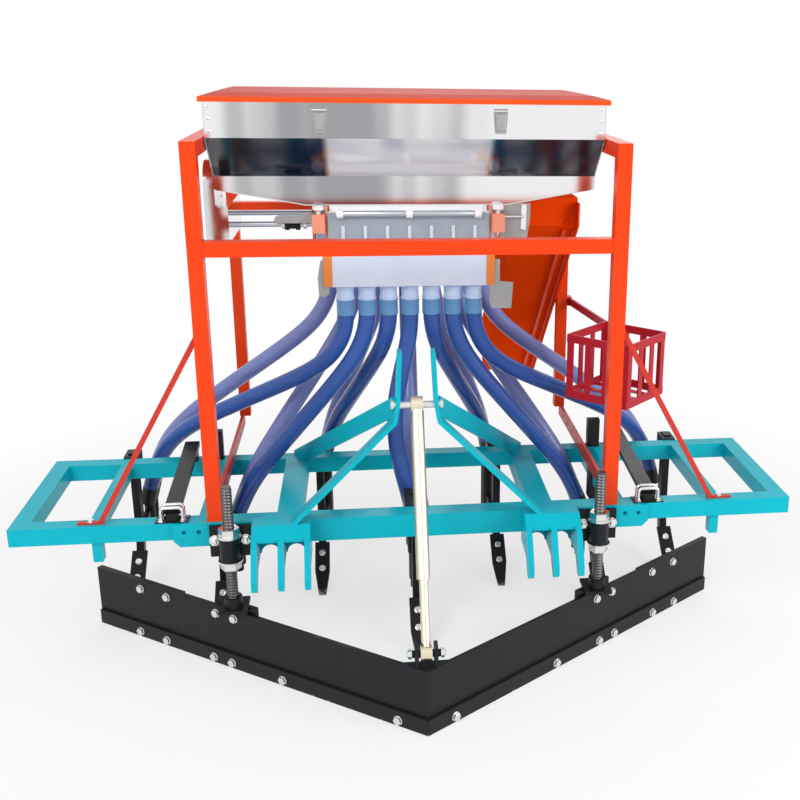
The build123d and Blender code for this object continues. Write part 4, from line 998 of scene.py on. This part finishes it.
# %% Rear fittings
STUB = at(CASE_SIDE, 1.335, 0.572)
HINGE_X, HINGE_DEPTH, HINGE_Z = 0.330, 0.694, 1.570
PIN_HALF = 0.036
case_rim = [(0.484, 1.232), (0.520, 1.262), (0.630, 1.262), (0.818, 1.102), (1.006, 0.942), (1.194, 0.782),
            (1.376, 0.630), (1.304, 0.502), (1.140, 0.641), (0.945, 0.807), (0.700, 1.016), (0.560, 1.135)]
case_screws = [(at(CASE_SIDE, y, z), X) for y, z in case_rim]
bolts("case_screws", "frame", case_screws, 0.0075)
bearing = [(0.013, 0), (0.036, 0.0005), (0.038, 0.002), (0.038, 0.006), (0.036, 0.008), (0.024, 0.009),
           (0.022, 0.018), (0.020, 0.020), (0.013, 0.0205)]
turned("stub_bearing", "frame", [(STUB, X)], bearing, zinc, 36)
pin_head = [(0.0070, 0), (0.0074, 0.0008), (0.0074, 0.0022), (0.0058, 0.0032), (0.0025, 0.0036)]
pin_ends = [(at(s * HINGE_X + e * PIN_HALF, HINGE_DEPTH, HINGE_Z), X * e) for s in SIDES for e in SIDES]
turned("hinge_pin_heads", "frame", pin_ends, pin_head, zinc, 18)
print("case screws", len(case_screws), "hinge pin heads", len(pin_ends))

# %% [markdown]
# The lift screws carry coarse threads. A thread could be painted on as a bump, but its outline
# shows against the floor, so it is a real helix: rings of points whose radius rises and falls along
# the screw while the pattern turns. The thread fades out at both ends.

# %% Threads
SCREW_DEPTH = -0.045
SCREW_LOW, SCREW_TOP = 0.205, 0.567
SCREW_R, THREAD_DEPTH, THREAD_PITCH = 0.016, 0.0022, 0.009
THREAD_SIDES, RINGS_A_TURN = 20, 6


def thread(mesh, start, end, radius, depth, pitch):
    """A threaded rod between two points."""
    length = (end - start).length
    steps = int(length / pitch * RINGS_A_TURN)
    lift = stand(start, end - start)
    rings = []
    for i in range(steps + 1):
        z = length * i / steps
        fade = min(1.0, z / pitch, (length - z) / pitch)
        loop = []
        for j in range(THREAD_SIDES):
            wave = abs(((z / pitch + j / THREAD_SIDES) % 1.0) * 2 - 1)
            r = radius - depth * (wave * fade + (1 - fade))
            a = 2 * math.pi * j / THREAD_SIDES
            loop.append(mesh.verts.new(lift @ Vector((r * math.cos(a), r * math.sin(a), z))))
        rings.append(loop)
    skin(mesh, rings, False)


screw_mesh = bmesh.new()
for s in SIDES:
    low, top = (at(s * SCREW_X, SCREW_DEPTH, z) for z in (SCREW_LOW, SCREW_TOP))
    thread(screw_mesh, low, top, SCREW_R, THREAD_DEPTH, THREAD_PITCH)
screws = keep(screw_mesh, "lift_threads", "blade", oiled)
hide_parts("lift_screws")
print("threads", len(screws.data.polygons), "faces")

# %% [markdown]
# Welds give a frame its scale. A weld is a row of overlapping scales, so the helper runs a thin
# tube along a line and lets its radius pulse. The beads take the paint of the frame, because the
# frame was painted after welding.

# %% Weld beads
POST_IN, POST_OUT = 0.542, 0.582
POST_FRONT, POST_BACK = 0.002, 0.042
RAIL_LOW, RAIL_TOP = 1.184, 1.224
POST_FOOT = 0.4455
BAR_INNER_FACES = (0.050, 0.474)
BEAD_LOW, BEAD_TOP = 0.396, 0.444
MEMBER_SIDES = (0.325, 0.395, 0.570, 0.610, 0.877, 0.903, 1.060)
STAND_BEAD, TOOLBAR_BEAD = 0.0032, 0.003
BEAD_STEP, BEAD_SIDES = 0.0022, 8


def weld(mesh, start, end, radius):
    """A painted weld bead along a line."""
    length = (end - start).length
    steps = max(4, int(length / BEAD_STEP))
    lift = stand(start, end - start)
    rings = []
    for i in range(steps + 1):
        pulse = radius * (0.78 + 0.22 * abs(math.sin(math.pi * i / 3)))
        pulse *= min(1.0, 0.35 + 0.4 * i, 0.35 + 0.4 * (steps - i))
        rings.append(ring(mesh, lift, pulse, length * i / steps, BEAD_SIDES))
    skin(mesh, rings, True)


def foot_welds(mesh, x0, x1, z):
    """Beads round the foot of a post."""
    corners = [at(x, y, z) for x, y in rectangle(x0, x1, POST_FRONT, POST_BACK)]
    for a, b in zip(corners, corners[1:] + corners[:1]):
        weld(mesh, a, b, STAND_BEAD)


orange_welds, teal_welds = bmesh.new(), bmesh.new()
for s in SIDES:
    inner = s * POST_IN
    foot_welds(orange_welds, inner, s * POST_OUT, POST_FOOT)
    for y in (POST_FRONT, POST_BACK):
        weld(orange_welds, at(inner, y, RAIL_LOW), at(inner, y, RAIL_TOP), STAND_BEAD)
    for z in (RAIL_LOW, RAIL_TOP):
        weld(orange_welds, at(inner, POST_FRONT, z), at(inner, POST_BACK, z), STAND_BEAD)
    for y in BAR_INNER_FACES:
        for x in MEMBER_SIDES:
            weld(teal_welds, at(s * x, y, BEAD_LOW), at(s * x, y, BEAD_TOP), TOOLBAR_BEAD)
stand_welds = keep(orange_welds, "stand_welds", "frame", orange)
toolbar_welds = keep(teal_welds, "toolbar_welds", "frame", teal)
print("weld faces", len(stand_welds.data.polygons), len(toolbar_welds.data.polygons))

# %% [markdown]
# The studio is a pale floor, a white surround and three soft lamps. The floor keeps the drill's
# shadow close to it and turns white further out, where it meets the surround without a line: a Mix
# Shader goes from the plain floor to a white glow by the distance from the drill. Light Path keeps
# that glow for the camera and for reflections, so that it lights nothing. The same test shows the
# surround in full white and lets it light the drill with about half of that.

# %% Surround and floor
FLOOR_HALF = 30
FLOOR_DROP = 0.001
WHITE = (1, 1, 1, 1)
SURROUND_LIGHT = 0.48
NEAR_GLOW = 0.60
GLOW_FROM_SQUARED = (0.9, 5.5)


def seen_or_mirrored(tree):
    """1 for the camera, for reflections and through clear plastic, and 0 for light on surfaces."""
    rays = ("Is Camera Ray", "Is Glossy Ray", "Is Transmission Ray")
    seen, glossy, clear = (Flow(tree).node("ShaderNodeLightPath", out=ray) for ray in rays)
    return seen.maths("MAXIMUM", seen, seen.maths("MAXIMUM", glossy, clear))


world = bpy.data.worlds.new("surround")
world.use_nodes = True
bpy.context.scene.world = world
surround = world.node_tree.nodes["Background"]
surround.inputs["Color"].default_value = WHITE
strength = seen_or_mirrored(world.node_tree) * (1 - SURROUND_LIGHT) + SURROUND_LIGHT
world.node_tree.links.new(strength.socket, surround.inputs["Strength"])

pale = bpy.data.materials.new("pale_floor")
pale.use_nodes = True
tree = pale.node_tree
plain_floor = tree.nodes["Principled BSDF"]
plain_floor.inputs["Base Color"].default_value = (0.9, 0.9, 0.9, 1)
plain_floor.inputs["Roughness"].default_value = 0.9
place = Flow(tree).node("ShaderNodeTexCoord", out="Object")
far_squared = place.axis(0) * place.axis(0) + place.axis(1) * place.axis(1)
share = (far_squared.rise(*GLOW_FROM_SQUARED) * (1 - NEAR_GLOW) + NEAR_GLOW) * seen_or_mirrored(tree)
glow = place.node("ShaderNodeEmission", Color=WHITE, Strength=1.0)
mixed = place.node("ShaderNodeMixShader", i0=share, i1=Flow(tree, plain_floor.outputs["BSDF"]), i2=glow)
tree.links.new(mixed.socket, tree.nodes["Material Output"].inputs["Surface"])
corners = rectangle(-FLOOR_HALF, FLOOR_HALF, -FLOOR_HALF, FLOOR_HALF)
floor_data = bpy.data.meshes.new("floor")
floor_data.from_pydata([(x, y, 0) for x, y in corners], [], [(0, 1, 2, 3)])
floor_data.materials.append(pale)
floor = bpy.data.objects.new("floor", floor_data)
floor.location.z = -FLOOR_DROP
bpy.context.collection.objects.link(floor)
print("floor", 2 * FLOOR_HALF, "metres wide")

# %% [markdown]
# Three large lamps give soft light: a key from the front left, a weaker fill from the right and a
# back light that lifts the lid from the surround. The Standard view keeps each colour about as it
# is written.

# %% Lamps


def lamp(name, place, target, size, watts):
    """A soft rectangular lamp that looks at a target."""
    light = bpy.data.lights.new(name, "AREA")
    light.shape = "RECTANGLE"
    light.size, light.size_y = size
    light.energy = watts
    made = bpy.data.objects.new(name, light)
    made.location = place
    made.rotation_euler = (Vector(target) - Vector(place)).to_track_quat("-Z", "Y").to_euler()
    bpy.context.collection.objects.link(made)


lamp("key", (-2.6, -3.6, 3.6), (0, 0, 0.7), (2.4, 2.0), 130)
lamp("fill", (3.4, -2.6, 2.2), (0, 0, 0.7), (2.0, 2.4), 92)
lamp("back", (0.6, 3.6, 3.2), (0, 0, 0.9), (3.0, 1.6), 45)
bpy.context.scene.view_settings.view_transform = "Standard"
print("lamps", len(bpy.data.lights))
